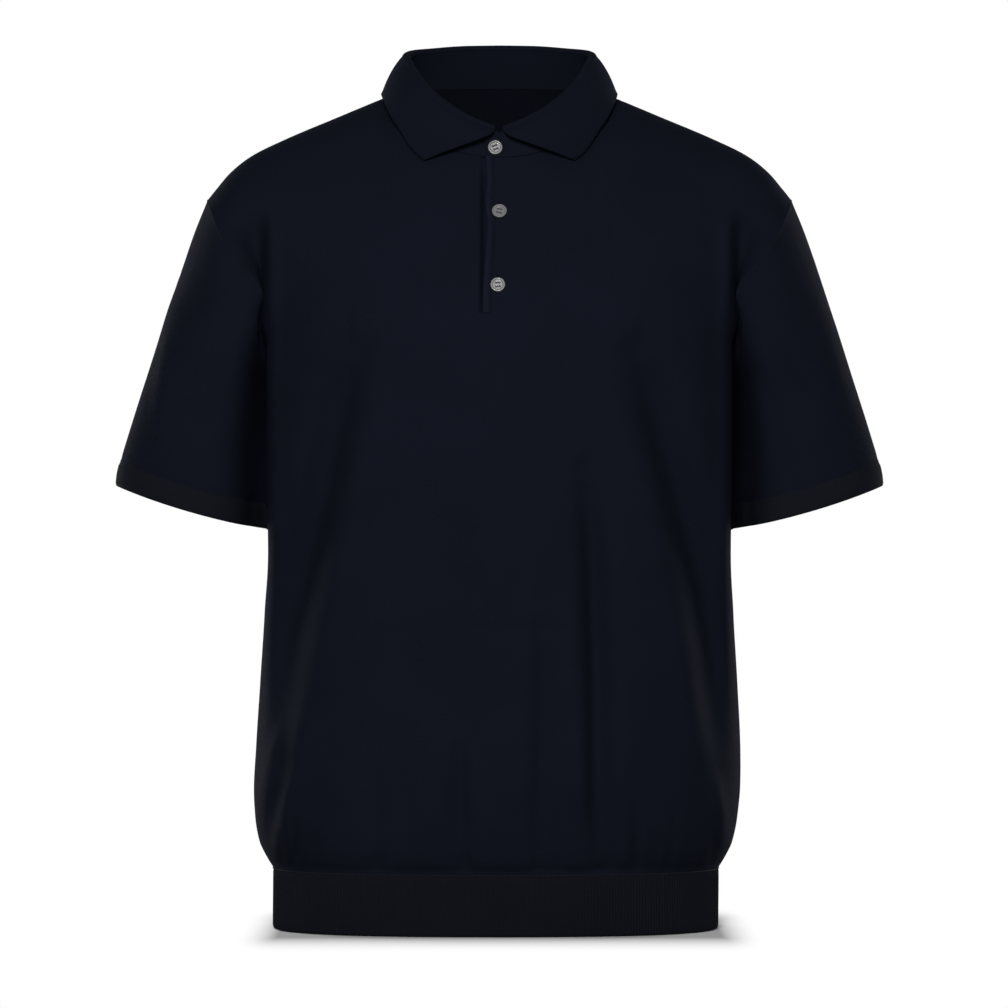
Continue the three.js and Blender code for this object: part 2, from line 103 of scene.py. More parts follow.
TORSO = (
    "z half shift front back press",
    (-655, 186.6, -3, 108, 97, 0),
    (-646, 192.2, -3, 112.5, 100.5, 0),
    (-632, 198.8, -3, 116.5, 103.5, 0),
    (-612, 202.6, -2.7, 119, 105.5, 0),
    (-585, 204.4, -2, 119, 105, 0),
    (-550, 203.4, -1, 117, 102.5, 0),
    (-500, 200.6, -0.6, 114.5, 98.5, 0),
    (-440, 197.4, -0.4, 113, 96, 0.005),
    (-385, 196, 0, 114, 96.5, 0.045),
    (-330, 196, 0, 116.5, 98, 0.075),
    (-270, 196, 0, 119.5, 101, 0.08),
    (-215, 196, 0, 121, 104, 0.08),
)
RIDGE = (
    "q x z",
    (0, 86, -3.5),
    (0.28, 134, -23.5),
    (0.56, 182, -43.7),
    (0.72, 208.7, -57),
    (0.84, 226, -70.6),
    (0.93, 237.5, -84),
    (1, 245.5, -94),
)
ARMHOLE_BOW = ("e bow", (-1, 0), (-0.7, 9), (-0.38, 10.9), (0.03, 3.7), (0.5, -1.7), (1, 0))
SLEEVE = (
    "t outX outZ inX inZ y front back sag",
    (0, 245.5, -94, 188.2, -215, 8, 66, 62, 0),
    (0.12, 256.5, -120.5, 190.2, -231, 8.5, 64, 60, 0.5),
    (0.4, 276, -178.5, 191.4, -268, 10, 58, 55, 1.8),
    (0.7, 298.2, -245, 192, -308, 11, 52, 50.5, 3.2),
    (1, 319.6, -313.2, 191.5, -350.2, 12, 48, 47, 4.2),
)
CUFF = (
    "t outX outZ inX inZ y front back sag",
    (0, 319.8, -313.6, 191.5, -350.6, 12, 48, 47, 4.2),
    (1, 323.4, -334, 190.6, -371.5, 12, 48.5, 47.5, 3.8),
)
ROLL = (
    "phi x y z",
    (0, 0, -67, -37),
    (8, 10.2, -66.5, -33.4),
    (20, 24.5, -63.5, -27),
    (35, 41.5, -55, -16.3),
    (50, 55, -43, -4.6),
    (65, 65.5, -27, 8),
    (80, 74, -7, 22.5),
    (90, 77.2, 7, 29.2),
    (110, 74, 27, 33.6),
    (135, 56, 46, 37),
    (160, 27, 57, 39.8),
    (180, 0, 60, 40.4),
)
EDGE = (
    "phi x z",
    (8, 62.2, -66.5),
    (20, 68.5, -62),
    (33, 76, -53.5),
    (46, 84, -41),
    (60, 91, -28),
    (74, 96, -16.5),
    (82, 98, -11.5),
    (90, 98.6, -8.8),
    (106, 96, -9.5),
    (122, 87, -9),
    (140, 67, -8.5),
    (160, 35, -8),
    (180, 0, -7.5),
)
# Free edge of the placket's over band: a little wavy, as hanging knit is.
BAND_EDGE = (
    "z x",
    (-200, -13.8),
    (-173, -13.6),
    (-149, -11.9),
    (-120, -10.3),
    (-100, -12),
    (-83, -10.7),
    (-60, -11.9),
)

# ---- soft folds: depth (below 0 is a trough), width, and their line across and up ------------------
FRONT_FOLDS = (
    (3.4, 15, ((-101, -230), (-126, -316), (-146, -394), (-168, -497), (-183, -565), (-188, -638))),
    (-25.0, 17, ((-120, -222), (-133, -280), (-142, -330), (-158, -395), (-172, -461), (-179, -511), (-184, -560))),
    (6.0, 9, ((-196, -330), (-196, -400), (-194, -470), (-193, -540), (-192, -600))),
    (6.5, 8, ((-163, -512), (-174, -580), (-182, -619), (-184, -640))),
    (-5.0, 6, ((-174, -560), (-186, -600), (-193, -638))),
    (5.0, 7, ((-177, -524), (-190, -559), (-198, -590), (-199, -620))),
    (-25.0, 17, ((114, -222), (131, -280), (144, -330), (160, -395), (172, -461), (179, -511), (185, -570))),
    (6.0, 9, ((196, -330), (196, -400), (194, -470), (193, -540), (192, -600))),
    (6.0, 11, ((129, -321), (154, -417), (162, -510), (169, -543), (176, -574), (192, -620))),
    (5.0, 6, ((180, -580), (186, -608), (187, -640))),
    (-15.5, 10, ((70, -320), (76, -400), (79, -500), (80, -595), (84, -649))),
    (-6.0, 9, ((36, -430), (34, -520), (34, -645))),
    (-3.0, 10, ((-101, -560), (-101, -640))),
    (-6.0, 8, ((-33, -540), (-31, -640))),
    (-0.8, 5, ((-96, -452), (105, -452))),
)
BACK_FOLDS = (
    (-9.0, 16, ((118, -240), (138, -330), (160, -430), (180, -520))),
    (3.6, 12, ((104, -250), (126, -350), (146, -450), (164, -560), (178, -630))),
    (-8.0, 15, ((-112, -250), (-130, -350), (-158, -470), (-178, -560))),
    (3.4, 10, ((-96, -300), (-118, -420), (-138, -540), (-160, -630))),
    (-4.6, 12, ((-40, -330), (-46, -480), (-52, -640))),
    (-4.2, 11, ((48, -360), (44, -500), (40, -640))),
    (-2.4, 9, ((-84, -540), (-90, -640))),
)
# Short gathers over the waist rib, by their place across.
FRONT_GATHERS = (-180, -172, -150, -101, -27, 33, 47, 91, 109, 115, 124, 140, 165, 176)
BACK_GATHERS = (-176, -160, -131, -96, -70, -22, 14, 62, 80, 118, 146, 171)


# ---- helpers ------------------------------------------------------------------------------------------
def read(table, at):
    """Smooth curves through a table's rows, read at `at`: a dict of arrays by column name."""
    names = table[0].split()
    rows = np.array(table[1:], float)
    at = np.asarray(at, float)
    key = rows[:, 0]
    i = np.clip(np.searchsorted(key, at, side="right") - 1, 0, len(key) - 2)
    h = key[i + 1] - key[i]
    t = np.clip((at - key[i]) / h, 0, 1)
    out = {}
    for k, name in enumerate(names):
        col = rows[:, k]
        step = np.diff(col) / np.diff(key)
        slope = np.empty(len(col))
        slope[0], slope[-1] = step[0], step[-1]
        a, b = step[:-1], step[1:]
        same = a * b > 0
        slope[1:-1] = np.where(same, 2 * a * b / np.where(same, a + b, 1), 0)
        out[name] = (
            (2 * t**3 - 3 * t**2 + 1) * col[i]
            + (t**3 - 2 * t**2 + t) * h * slope[i]
            + (3 * t**2 - 2 * t**3) * col[i + 1]
            + (t**3 - t**2) * h * slope[i + 1]
        )
    return out


def stack(x, y, z):
    return np.stack(np.broadcast_arrays(x, y, z), axis=-1).astype(float)


def smooth(low, high, x):
    t = np.clip((x - low) / (high - low), 0, 1)
    return t * t * (3 - 2 * t)


def bump(x, middle, width):
    return np.exp(-(((x - middle) / width) ** 2))


def hermite(a, b, leave, arrive, t):
    t = np.asarray(t)[..., None]
    return (
        a * (2 * t**3 - 3 * t**2 + 1)
        + leave * (t**3 - 2 * t**2 + t)
        + b * (3 * t**2 - 2 * t**3)
        + arrive * (t**3 - t**2)
    )


def unit(v):
    return v / np.maximum(np.linalg.norm(v, axis=-1, keepdims=True), 1e-9)


def normals(points, out=1, ring=False):
    """Outward unit normals of a grid of points."""
    if ring:
        across = np.roll(points, -1, axis=1) - np.roll(points, 1, axis=1)
    else:
        across = np.gradient(points, axis=1)
    return out * unit(np.cross(across, np.gradient(points, axis=0)))


def lengths(points, axis):
    """Distance along a grid's lines, from its first row or column."""
    step = np.linalg.norm(np.diff(points, axis=axis), axis=-1)
    first = np.zeros_like(np.take(step, [0], axis=axis))
    return np.concatenate([first, np.cumsum(step, axis=axis)], axis=axis)


def wander(x, seed, scale):
    """A soft uneven wave, the same at each run."""
    rng = np.random.default_rng(seed)
    total = np.zeros_like(np.asarray(x, float))
    for k in range(1, 6):
        total += np.sin(x / scale * k * rng.uniform(0.7, 1.3) + rng.uniform(0, 6.3)) / k
    return total / 2


# ---- body surface ----------------------------------------------------------------------------------------
def widen(row):
    return row["half"] / (1 - 0.48 * row["press"])


CHEST_HALF = float(widen(read(TORSO, UNDERARM_Z)))
NECK_F = NECK_HALF / CHEST_HALF


def angle_of(f):
    return np.arcsin(np.minimum(1, np.abs(f)) ** (ROUNDNESS / 2))


NECK_ANGLE = float(angle_of(NECK_F))


def depth_of(side, row):
    return row["front"] + SIDE_Y if side == FRONT else row["back"] - SIDE_Y


def torso(side, f, z):
    row = read(TORSO, z)
    y = SIDE_Y + side * depth_of(side, row) * np.cos(angle_of(f)) ** (2 / ROUNDNESS)
    press = row["press"] * bump(y, PRESS_Y, PRESS_WIDTH)
    return stack(row["shift"] + widen(row) * f * (1 - press), y, z)


def side_of(side, y, z):
    """How far out the side of the body stands at a given depth and height."""
    row = read(TORSO, z)
    c = np.minimum(1, np.maximum(0, side * (y - SIDE_Y)) / depth_of(side, row))
    press = row["press"] * bump(y, PRESS_Y, PRESS_WIDTH)
    return widen(row) * (1 - c**ROUNDNESS) ** (1 / ROUNDNESS) * (1 - press)


def neck_line(side, x):
    c = np.sqrt(np.maximum(0, 1 - (x / NECK_HALF) ** 2))
    if side == FRONT:
        return stack(x, NECK_Y - NECK_OUT * c, NECK_Z - NECK_DROP * c)
    return stack(x, NECK_Y + NECK_BACK * c, NECK_Z + NECK_RISE * c)


def shoulder_place(f):
    return np.clip((angle_of(f) - NECK_ANGLE) / (np.pi / 2 - NECK_ANGLE), 0, 1)


def top_line(side, f):
    f = np.asarray(f, float)
    q = shoulder_place(f)
    r = read(RIDGE, q)
    ridge = stack(np.sign(f) * r["x"], NECK_Y + (ARM_Y - NECK_Y) * q, r["z"])
    neck = neck_line(side, np.clip(f, -NECK_F, NECK_F) * CHEST_HALF)
    return np.where((np.abs(f) <= NECK_F)[..., None], neck, ridge)


def armhole(sign, side, a):
    """The sleeve seam: a is 0 at the top of the shoulder and pi at the underarm."""
    (tx, tz), (lx, lz) = ARM_TOP, ARM_LOW
    reach = np.hypot(tx - lx, tz - lz)
    ax, az = (tx - lx) / reach, (tz - lz) / reach
    e, bow = np.cos(a) * reach / 2, read(ARMHOLE_BOW, np.cos(a))["bow"]
    x = (tx + lx) / 2 + ax * e - az * bow
    z = (tz + lz) / 2 + az * e + ax * bow
    y = ARM_Y + side * (ARM_FRONT if side == FRONT else ARM_BACK) * np.sin(a)
    least = side_of(side, y, UNDERARM_Z) + 7 * smooth(0, 0.7, np.sin(a))
    x = least + 2.5 * np.logaddexp(0, (x - least) / 2.5)
    return stack(sign * x, y, z)


def rise(side, f, w):
    """Above the underarm: from the chest to the neck line, the ridge or the sleeve seam."""

    def column(g):
        low, top = torso(side, g, UNDERARM_Z), top_line(side, g)
        c = np.sqrt(np.maximum(0, 1 - np.minimum(1, np.abs(g) / NECK_F) ** 2))
        up = stack(0, 0, 1.12 * (top[..., 2] - UNDERARM_Z))
        over = stack(0, 150 - 92 * c, 120 * c) if side == FRONT else stack(0, -150 + 85 * c, 185 * c)
        return hermite(low, top, up, over, w)

    f, w = np.broadcast_arrays(np.asarray(f, float), np.asarray(w, float))
    sign = np.where(f < 0, -1.0, 1.0)
    pull = armhole(sign, side, np.pi * (1 - w)) - column(sign)
    return column(f) + pull * (shoulder_place(f) ** 4)[..., None]


def relax(points, weight, rounds):
    """Evens a grid out where weight is over 0, its edges kept."""
    for _ in range(rounds):
        near = points.copy()
        near[1:-1, 1:-1] = (
            points[:-2, 1:-1] + points[2:, 1:-1] + points[1:-1, :-2] + points[1:-1, 2:]
        ) / 4
        points = points + (near - points) * weight[..., None]
    return points


def fold_field(points, folds):
    """Height of a set of soft folds over points, read across and up."""
    x, z = points[..., 0], points[..., 2]
    total = np.zeros_like(x)
    for depth, width, line in folds:
        line = np.array(line, float)
        whole = np.linalg.norm(np.diff(line, axis=0), axis=1).sum()
        best, along, done = np.full_like(x, 1e9), np.zeros_like(x), 0.0
        beyond = np.zeros(x.shape, bool)
        for (ax, az), (bx, bz) in zip(line[:-1], line[1:]):
            dx, dz = bx - ax, bz - az
            size = np.hypot(dx, dz)
            t = np.clip(((x - ax) * dx + (z - az) * dz) / size**2, 0, 1)
            gap = np.hypot(x - ax - t * dx, z - az - t * dz)
            closer = gap < best
            best = np.where(closer, gap, best)
            beyond = np.where(closer, (x - ax - t * dx) * np.sign(ax) > 0, beyond)
            along = np.where(closer, done + t * size, along)
            done += size
        ends = np.sin(np.pi * np.clip(along / whole, 0.03, 0.97)) ** 0.6
        reach = width * np.where(beyond == (depth > 0), 0.85, 1.25)
        total += depth * ends * np.exp(-((best / reach) ** 2))
    return total


def gathers(points, places, seed):
    rng = np.random.default_rng(seed)
    x, z = points[..., 0], points[..., 2]
    total = np.zeros_like(x)
    for place in places:
        top = RIB_Z + rng.uniform(26, 95)
        lean = rng.uniform(-0.12, 0.12)
        depth, width = rng.uniform(1.6, 3.8), rng.uniform(3.0, 6.0)
        fade = smooth(top, RIB_Z + 9, z) * smooth(RIB_Z, RIB_Z + 9, z)
        total -= depth * fade * bump(x, place + lean * (z - RIB_Z), width)
    return total


# ---- meshes -----------------------------------------------------------------------------------------------
def cloth(name, points, material, out=1, ring=False, keep=None, wall=WALL):
    """A grid of points in mm made into a thin closed cloth, with its knit's own UV map."""
    rows, cols = points.shape[:2]
    size = rows * cols
    ids = np.arange(size).reshape(rows, cols)
    wide = np.median(lengths(points, 1), axis=0)
    tall = lengths(points, 0)[:, cols // 2]
    u, v = np.broadcast_arrays(wide[None, :], tall[:, None])
    if ring:
        ids = np.concatenate([ids, ids[:, :1]], axis=1)
        u = np.concatenate([u, u[:, -1:] + wide[1] - wide[0]], axis=1)
        v = np.concatenate([v, v[:, :1]], axis=1)
    grid = np.stack([ids, u * MM, v * MM], axis=-1).astype(float)
    quads = np.stack([grid[:-1, :-1], grid[:-1, 1:], grid[1:, 1:], grid[1:, :-1]], axis=-2)
    quads = (quads if keep is None else quads[keep]).reshape(-1, 4, 3)
    if out < 0:
        quads = quads[:, ::-1]
    sides = np.stack([quads, np.roll(quads, -1, axis=1)], axis=2).reshape(-1, 2, 3)
    code = np.sort(sides[..., 0], axis=1) @ [2 * size, 1]
    _, place, count = np.unique(code, return_inverse=True, return_counts=True)
    border = sides[count[place] == 1]
    under = [size, 0, 0]
    rim = np.stack([border[:, 1], border[:, 0], border[:, 0] + under, border[:, 1] + under], axis=1)
    inner = (quads + under + [0, 0, REVERSE_V])[:, ::-1]
    corners = np.concatenate([quads, inner, rim])
    inside = points - normals(points, out, ring) * wall
    verts = np.concatenate([points.reshape(-1, 3), inside.reshape(-1, 3)]) * MM
    used, faces = np.unique(corners[..., 0].astype(int), return_inverse=True)
    mesh = bpy.data.meshes.new(name)
    mesh.from_pydata(verts[used].tolist(), [], faces.reshape(-1, 4).tolist())
    layer = mesh.uv_layers.new(name="knit")
    layer.data.foreach_set("uv", corners[..., 1:].reshape(-1).astype(np.float32))
    mesh.polygons.foreach_set("use_smooth", [True] * len(mesh.polygons))
    ends = np.empty(len(mesh.edges) * 2, np.int32)
    mesh.edges.foreach_get("vertices", ends)
    ends = np.sort(used[ends.reshape(-1, 2)], axis=1) @ [2 * size, 1]
    edge = np.sort(border[..., 0], axis=1) @ [2 * size, 1]
    sharp = mesh.attributes.new("sharp_edge", "BOOLEAN", "EDGE")
    sharp.data.foreach_set("value", np.isin(ends, np.concatenate([edge, edge + (2 * size + 1) * size])))
    mesh.update()
    obj = bpy.data.objects.new(name, mesh)
    bpy.context.scene.collection.objects.link(obj)
    obj.data.materials.append(material)
    return obj


def plain_mesh(name, verts, faces, material, smooth_shade=True):
    mesh = bpy.data.meshes.new(name)
    mesh.from_pydata([tuple(v) for v in verts], [], faces)
    mesh.polygons.foreach_set("use_smooth", [smooth_shade] * len(mesh.polygons))
    mesh.update()
    obj = bpy.data.objects.new(name, mesh)
    bpy.context.scene.collection.objects.link(obj)
    obj.data.materials.append(material)
    return obj


def capsule(start, end, radius, sides=6):
    """A short stitch of yarn between two points."""
    start, end = np.asarray(start, float), np.asarray(end, float)
    along = unit(end - start)
    helper = np.array([0, 0, 1.0]) if abs(along[2]) < 0.9 else np.array([1.0, 0, 0])
    a = unit(np.cross(along, helper))
    b = np.cross(along, a)
    verts, faces = [start - along * radius * 0.6], []
    size = np.linalg.norm(end - start)
    for t, r in ((0.04, 0.7), (0.3, 1.0), (0.7, 1.0), (0.96, 0.7)):
        for k in range(sides):
            turn = 2 * np.pi * k / sides
            ring = a * np.cos(turn) + b * np.sin(turn)
            verts.append(start + along * size * t + ring * radius * r)
    verts.append(end + along * radius * 0.6)
    last = len(verts) - 1
    for k in range(sides):
        n = (k + 1) % sides
        faces.append((0, 1 + n, 1 + k))
        for r in range(3):
            faces.append((1 + r * sides + k, 1 + r * sides + n, 1 + (r + 1) * sides + n, 1 + (r + 1) * sides + k))
        faces.append((last, last - sides + k, last - sides + n))
    return verts, faces


def stitches(name, segments, radius, material):
    """Many short stitches as one piece; segments are pairs of points in mm."""
    verts, faces = [], []
    for start, end in segments:
        v, f = capsule(start, end, radius)
        base = len(verts)
        verts += [p * MM for p in v]
        faces += [tuple(i + base for i in q) for q in f]
    return plain_mesh(name, verts, faces, material)


def chain(name, path, outward, material, pitch=2.4, radius=0.34, lift=0.15):
    """A linked seam: a chain of slanted stitches lying along a path of points."""
    path, outward = np.asarray(path), np.asarray(outward)
    run = np.concatenate([[0], np.cumsum(np.linalg.norm(np.diff(path, axis=0), axis=1))])
    count = int(run[-1] / pitch)
    at = np.linspace(0, run[-1], count * 2 + 1)
    pos = np.stack([np.interp(at, run, path[:, k]) for k in range(3)], axis=1)
    nor = unit(np.stack([np.interp(at, run, outward[:, k]) for k in range(3)], axis=1))
    side = unit(np.cross(nor, np.gradient(pos, axis=0)))
    segments = []
    for k in range(0, len(at) - 2, 2):
        low = pos[k] + nor[k] * lift - side[k] * radius * 0.7
        high = pos[k + 1] + nor[k + 1] * lift + side[k + 1] * radius * 0.7
        segments.append((low, high))
    return stitches(name, segments, radius, material)


# ---- materials ---------------------------------------------------------------------------------------------
class Value:
    """A node socket with arithmetic: each operation adds a Math node."""

    def __init__(self, shader, socket):
        self.shader, self.socket = shader, socket

    def math(self, operation, *others):
        return self.shader.node("ShaderNodeMath", {"operation": operation}, {}, [self, *others])

    def __add__(self, other):
        return self.math("ADD", other)

    def __sub__(self, other):
        return self.math("SUBTRACT", other)

    def __mul__(self, other):
        return self.math("MULTIPLY", other)

    def __truediv__(self, other):
        return self.math("DIVIDE", other)

    def __pow__(self, other):
        return self.math("POWER", other)

    __radd__, __rmul__ = __add__, __mul__

    def __rsub__(self, other):
        return self.shader.node("ShaderNodeMath", {"operation": "SUBTRACT"}, {}, [other, self])

    def __rtruediv__(self, other):
        return self.shader.node("ShaderNodeMath", {"operation": "DIVIDE"}, {}, [other, self])

    def fract(self):
        return self.math("FRACT")

    def sine(self):
        return self.math("SINE")

    def size(self):
        return self.math("ABSOLUTE")


class Shader:
    """A material's node tree, with one way to add any node."""

    def __init__(self, name):
        self.material = bpy.data.materials.get(name) or bpy.data.materials.new(name)
        self.material.use_nodes = True
        self.tree = self.material.node_tree
        self.tree.nodes.clear()

    def set(self, socket, value):
        if isinstance(value, Value):
            self.tree.links.new(value.socket, socket)
        else:
            socket.default_value = value

    def node(self, kind, settings=None, values=None, listed=(), out=0):
        node = self.tree.nodes.new(kind)
        for key, value in (settings or {}).items():
            if key == "stops":
                ramp = node.color_ramp
                while len(ramp.elements) < len(value):
                    ramp.elements.new(0.5)
                for element, (place, colour) in zip(ramp.elements, value):
                    element.position, element.color = place, (*colour, 1)
            else:
                setattr(node, key, value)
        for socket, value in (values or {}).items():
            self.set(node.inputs[socket], value)
        for index, value in enumerate(listed):
            self.set(node.inputs[index], value)
        return Value(self, node.outputs[out])

    def blend(self, factor, a, b):
        """Mix of two colours."""
        settings = {"data_type": "RGBA"}
        return self.node("ShaderNodeMix", settings, {0: factor, 6: a, 7: b}, out=2)

    def noise(self, scale, detail=2.0, vector=None):
        values = {"Scale": scale, "Detail": detail}
        if vector:
            values["Vector"] = vector
        return self.node("ShaderNodeTexNoise", None, values)

    def finish(self, **values):
        bsdf = self.tree.nodes.new("ShaderNodeBsdfPrincipled")
        for name, value in values.items():
            self.set(bsdf.inputs[name.replace("_", " ")], value)
        output = self.tree.nodes.new("ShaderNodeOutputMaterial")
        self.tree.links.new(bsdf.outputs[0], output.inputs[0])
        return self.material


def rgba(colour):
    return (*colour, 1.0)


def shade(colour, factor):
    return rgba([c * factor for c in colour])


def object_place(s):
    return s.node("ShaderNodeTexCoord", out=3)


def knit(name, colour, wale, course, relief=0.15, sheen=0.001, inner_shade_factor=0.62, edge_highlight_mm=0.0):
    """Jersey: columns of slanting loops, a soft fuzz and an uneven dye, with painted shade in the grooves between the
    loops, a painted highlight along a rolled edge and painted shade on the inner face.
    """
    s = Shader(name)
    uv = s.node("ShaderNodeUVMap", {"uv_map": "knit"})
    split = s.node("ShaderNodeSeparateXYZ", None, {0: uv})
    u = split
    v = Value(s, split.socket.node.outputs[1])
    place = object_place(s)
    drift = s.noise(900.0, 1.0, place)
    across = (u / (wale * MM) + drift * 0.25).fract()
    leg = (across - 0.5).size() * 2
    loop = (v / (course * MM) + leg * 0.55).fract()
    yarn = (1 - (leg * 2 - 1) ** 2) * (loop * 3.14159).sine()
    fuzz = s.noise(2600.0, 3.0, place)
    patch = s.noise(16.0, 3.0, place)
    height = yarn * 0.8 + fuzz * 0.12
    # The yarn term paints shade into the grooves between the loops; the patches and fuzz are uneven dye.
    tone = yarn * 0.35 + patch * 0.4 + fuzz * 0.25
    face = s.blend(tone, shade(colour, 0.62), shade(colour, 1.42))
    # Painted highlight: the rolled edge of the band is painted paler, as if light caught it.
    if edge_highlight_mm:
        edge = (1 - u / (edge_highlight_mm * MM)).math("MAXIMUM", 0.0) ** 0.5
        face = s.blend(edge * 0.55, face, shade(colour, 1.9))
    # Painted shade: the inner face is painted darker for the shade inside the garment, partly also the duller reverse
    # of the knit.
    inside = v.math("GREATER_THAN", REVERSE_V / 2)
    inner_face_shade = s.blend(tone, shade(colour, 0.62 * inner_shade_factor), shade(colour, 1.42 * inner_shade_factor))
    base = s.blend(inside, face, inner_face_shade)
    normal = s.node("ShaderNodeBump", None, {"Strength": 1.0, "Distance": relief * MM, "Height": height})
    return s.finish(
        Base_Color=base,
        Roughness=0.78 + fuzz * 0.2,
        Normal=normal,
        Sheen_Weight=sheen,
        Sheen_Roughness=0.22,
        Sheen_Tint=(0.5, 0.62, 1.0, 1.0),
        Specular_IOR_Level=0.01,
    )


def yarn(name, colour, rough=0.7):
    s = Shader(name)
    place = object_place(s)
    ply = s.noise(3200.0, 2.0, place)
    normal = s.node("ShaderNodeBump", None, {"Strength": 0.6, "Distance": 0.0001, "Height": ply})
    return s.finish(
        Base_Color=s.blend(ply, shade(colour, 0.7), shade(colour, 1.35)),
        Roughness=rough + ply * 0.15,
        Normal=normal,
        Specular_IOR_Level=0.05,
        Sheen_Weight=0.01,
    )


def pearl(name, colour):
    """Grey shell: cloudy bands, a low gloss and a thin clear coat."""
    s = Shader(name)
    place = object_place(s)
    cloud = s.noise(240.0, 4.0, place)
    fine = s.noise(1400.0, 3.0, place)
    tone = cloud * 0.7 + fine * 0.3
    normal = s.node("ShaderNodeBump", None, {"Strength": 0.25, "Distance": 0.0001, "Height": fine})
    return s.finish(
        Base_Color=s.blend(tone, shade(colour, 0.6), shade(colour, 1.5)),
        Roughness=0.26 + fine * 0.18,
        Normal=normal,
        Coat_Weight=0.35,
        Coat_Roughness=0.12,
    )


def floor_white(name, colour, half, reach):
    """Pale floor that keeps the shadow round the hem and fades into the white backdrop."""
    s = Shader(name)
    geometry = s.node("ShaderNodeNewGeometry")
    split = s.node("ShaderNodeSeparateXYZ", None, {0: geometry})
    place = [Value(s, split.socket.node.outputs[k]).size() for k in (0, 1)]
    beyond = [(place[k] - half[k]).math("MAXIMUM", 0.0) / reach[k] for k in (0, 1)]
    away = (beyond[0] ** 2 + beyond[1] ** 2) ** 0.5
    fade = 1 - (1 - away).math("MAXIMUM", 0.0) ** 2
    camera = s.node("ShaderNodeLightPath")
    grain = s.noise(30.0, 2.0)
    pale = s.blend(grain, shade(colour, 0.99), shade(colour, 1.01))
    diffuse = s.node("ShaderNodeBsdfDiffuse", None, {"Color": pale})
    white = s.node("ShaderNodeEmission", None, {"Color": (1, 1, 1, 1), "Strength": 1.0})
    mixed = s.node("ShaderNodeMixShader", None, {0: fade * camera, 1: diffuse, 2: white})
    output = s.tree.nodes.new("ShaderNodeOutputMaterial")
    s.tree.links.new(mixed.socket, output.inputs[0])
    return s.material


# ---- properties ----------------------------------------------------------------------------------------------
def colour_property(name, words, default):
    return bpy.props.FloatVectorProperty(
        name=name, description=words, default=default, subtype="COLOR", size=3, min=0, max=1
    )


def length_property(name, words, default):
    return bpy.props.FloatProperty(
        name=name, description=words, default=default, unit="LENGTH", precision=5, min=0
    )


class SweaterKnit(bpy.types.PropertyGroup):
    wale: length_property("Wale", "Width of one column of loops", 0.0017)
    course: length_property("Course", "Height of one row of loops", 0.0013)
    rib_pitch: length_property("Rib pitch", "Width of one rib of the waist band", 0.0026)
    rib_depth: length_property("Rib depth", "Height of a rib over its groove", 0.0007)
    fold_depth: bpy.props.FloatProperty(
        name="Fold depth", description="How deep the soft folds are", default=1.0, min=0, max=2
    )


class SweaterColours(bpy.types.PropertyGroup):
    body: colour_property("Body", "Jersey of the body and sleeves", (0.0059, 0.0072, 0.0128))
    rib: colour_property("Rib", "Waist rib and sleeve bands", (0.0070, 0.0080, 0.0118))
    collar: colour_property("Collar", "Collar fall and stand", (0.0060, 0.0075, 0.0132))
    seam: colour_property("Seam", "Linking yarn at the seams", (0.0060, 0.0070, 0.0115))
    waist: colour_property("Waist seam", "Linking yarn over the waist rib", (0.0150, 0.0160, 0.0200))
    button: colour_property("Buttons", "Grey shell buttons", (0.0980, 0.1010, 0.0980))


class SweaterStage(bpy.types.PropertyGroup):
    distance: length_property("Camera distance", "From the camera to the garment", 5.0)
    span: length_property("Picture width", "Width taken in at the garment", 0.8467)
    key: bpy.props.FloatProperty(
        name="Key light", description="Front light from above", default=52.0, min=0, unit="POWER"
    )
    rear: bpy.props.FloatProperty(
        name="Rear lights", description="Light from each side behind", default=45.0, min=0, unit="POWER"
    )
    sky: bpy.props.FloatProperty(
        name="Room light", description="Even light from all round", default=0.12, min=0
    )


def knit_settings():
    return bpy.context.scene.sweater_knit


def colours():
    return bpy.context.scene.sweater_colours


def body_cloth():
    k = knit_settings()
    return knit("body_jersey", colours().body, k.wale / MM, k.course / MM)


def placket_cloth():
    k = knit_settings()
    # The over band's rolled edge gets a painted highlight 6.5 mm wide.
    return knit("placket_jersey", colours().body, k.wale / MM, k.course / MM, edge_highlight_mm=6.5)


def band_cloth():
    k = knit_settings()
    return knit("band_jersey", colours().rib, k.wale / MM, k.course / MM)


def rib_cloth():
    k = knit_settings()
    return knit("waist_rib_knit", colours().rib, k.rib_pitch / MM / 2, k.course / MM, relief=0.2)


def collar_cloth():
    k = knit_settings()
    # The collar's inner face gets milder painted shade than the body's.
    return knit("collar_knit", colours().collar, 1.5, k.course / MM, relief=0.2, sheen=0.002, inner_shade_factor=0.85)


def seam_yarn():
    return yarn("seam_yarn", colours().seam)


# ---- panels ----------------------------------------------------------------------------------------------------
def panel_columns(neck_step, shoulder_cells):
    def line(a, b):
        return np.linspace(a, b, max(2, int(abs(b - a) / neck_step)) + 1)[:-1]

    middle = np.concatenate(
        [line(-NECK_HALF, SLIT_LEFT), line(SLIT_LEFT, SLIT_RIGHT), line(SLIT_RIGHT, NECK_HALF)]
    )
    q = np.linspace(0, 1, shoulder_cells + 1)
    right = np.sin(NECK_ANGLE + q * (np.pi / 2 - NECK_ANGLE)) ** (2 / ROUNDNESS)
    right[0] = NECK_F
    return np.concatenate([-right[::-1][:-1], middle / CHEST_HALF, right])


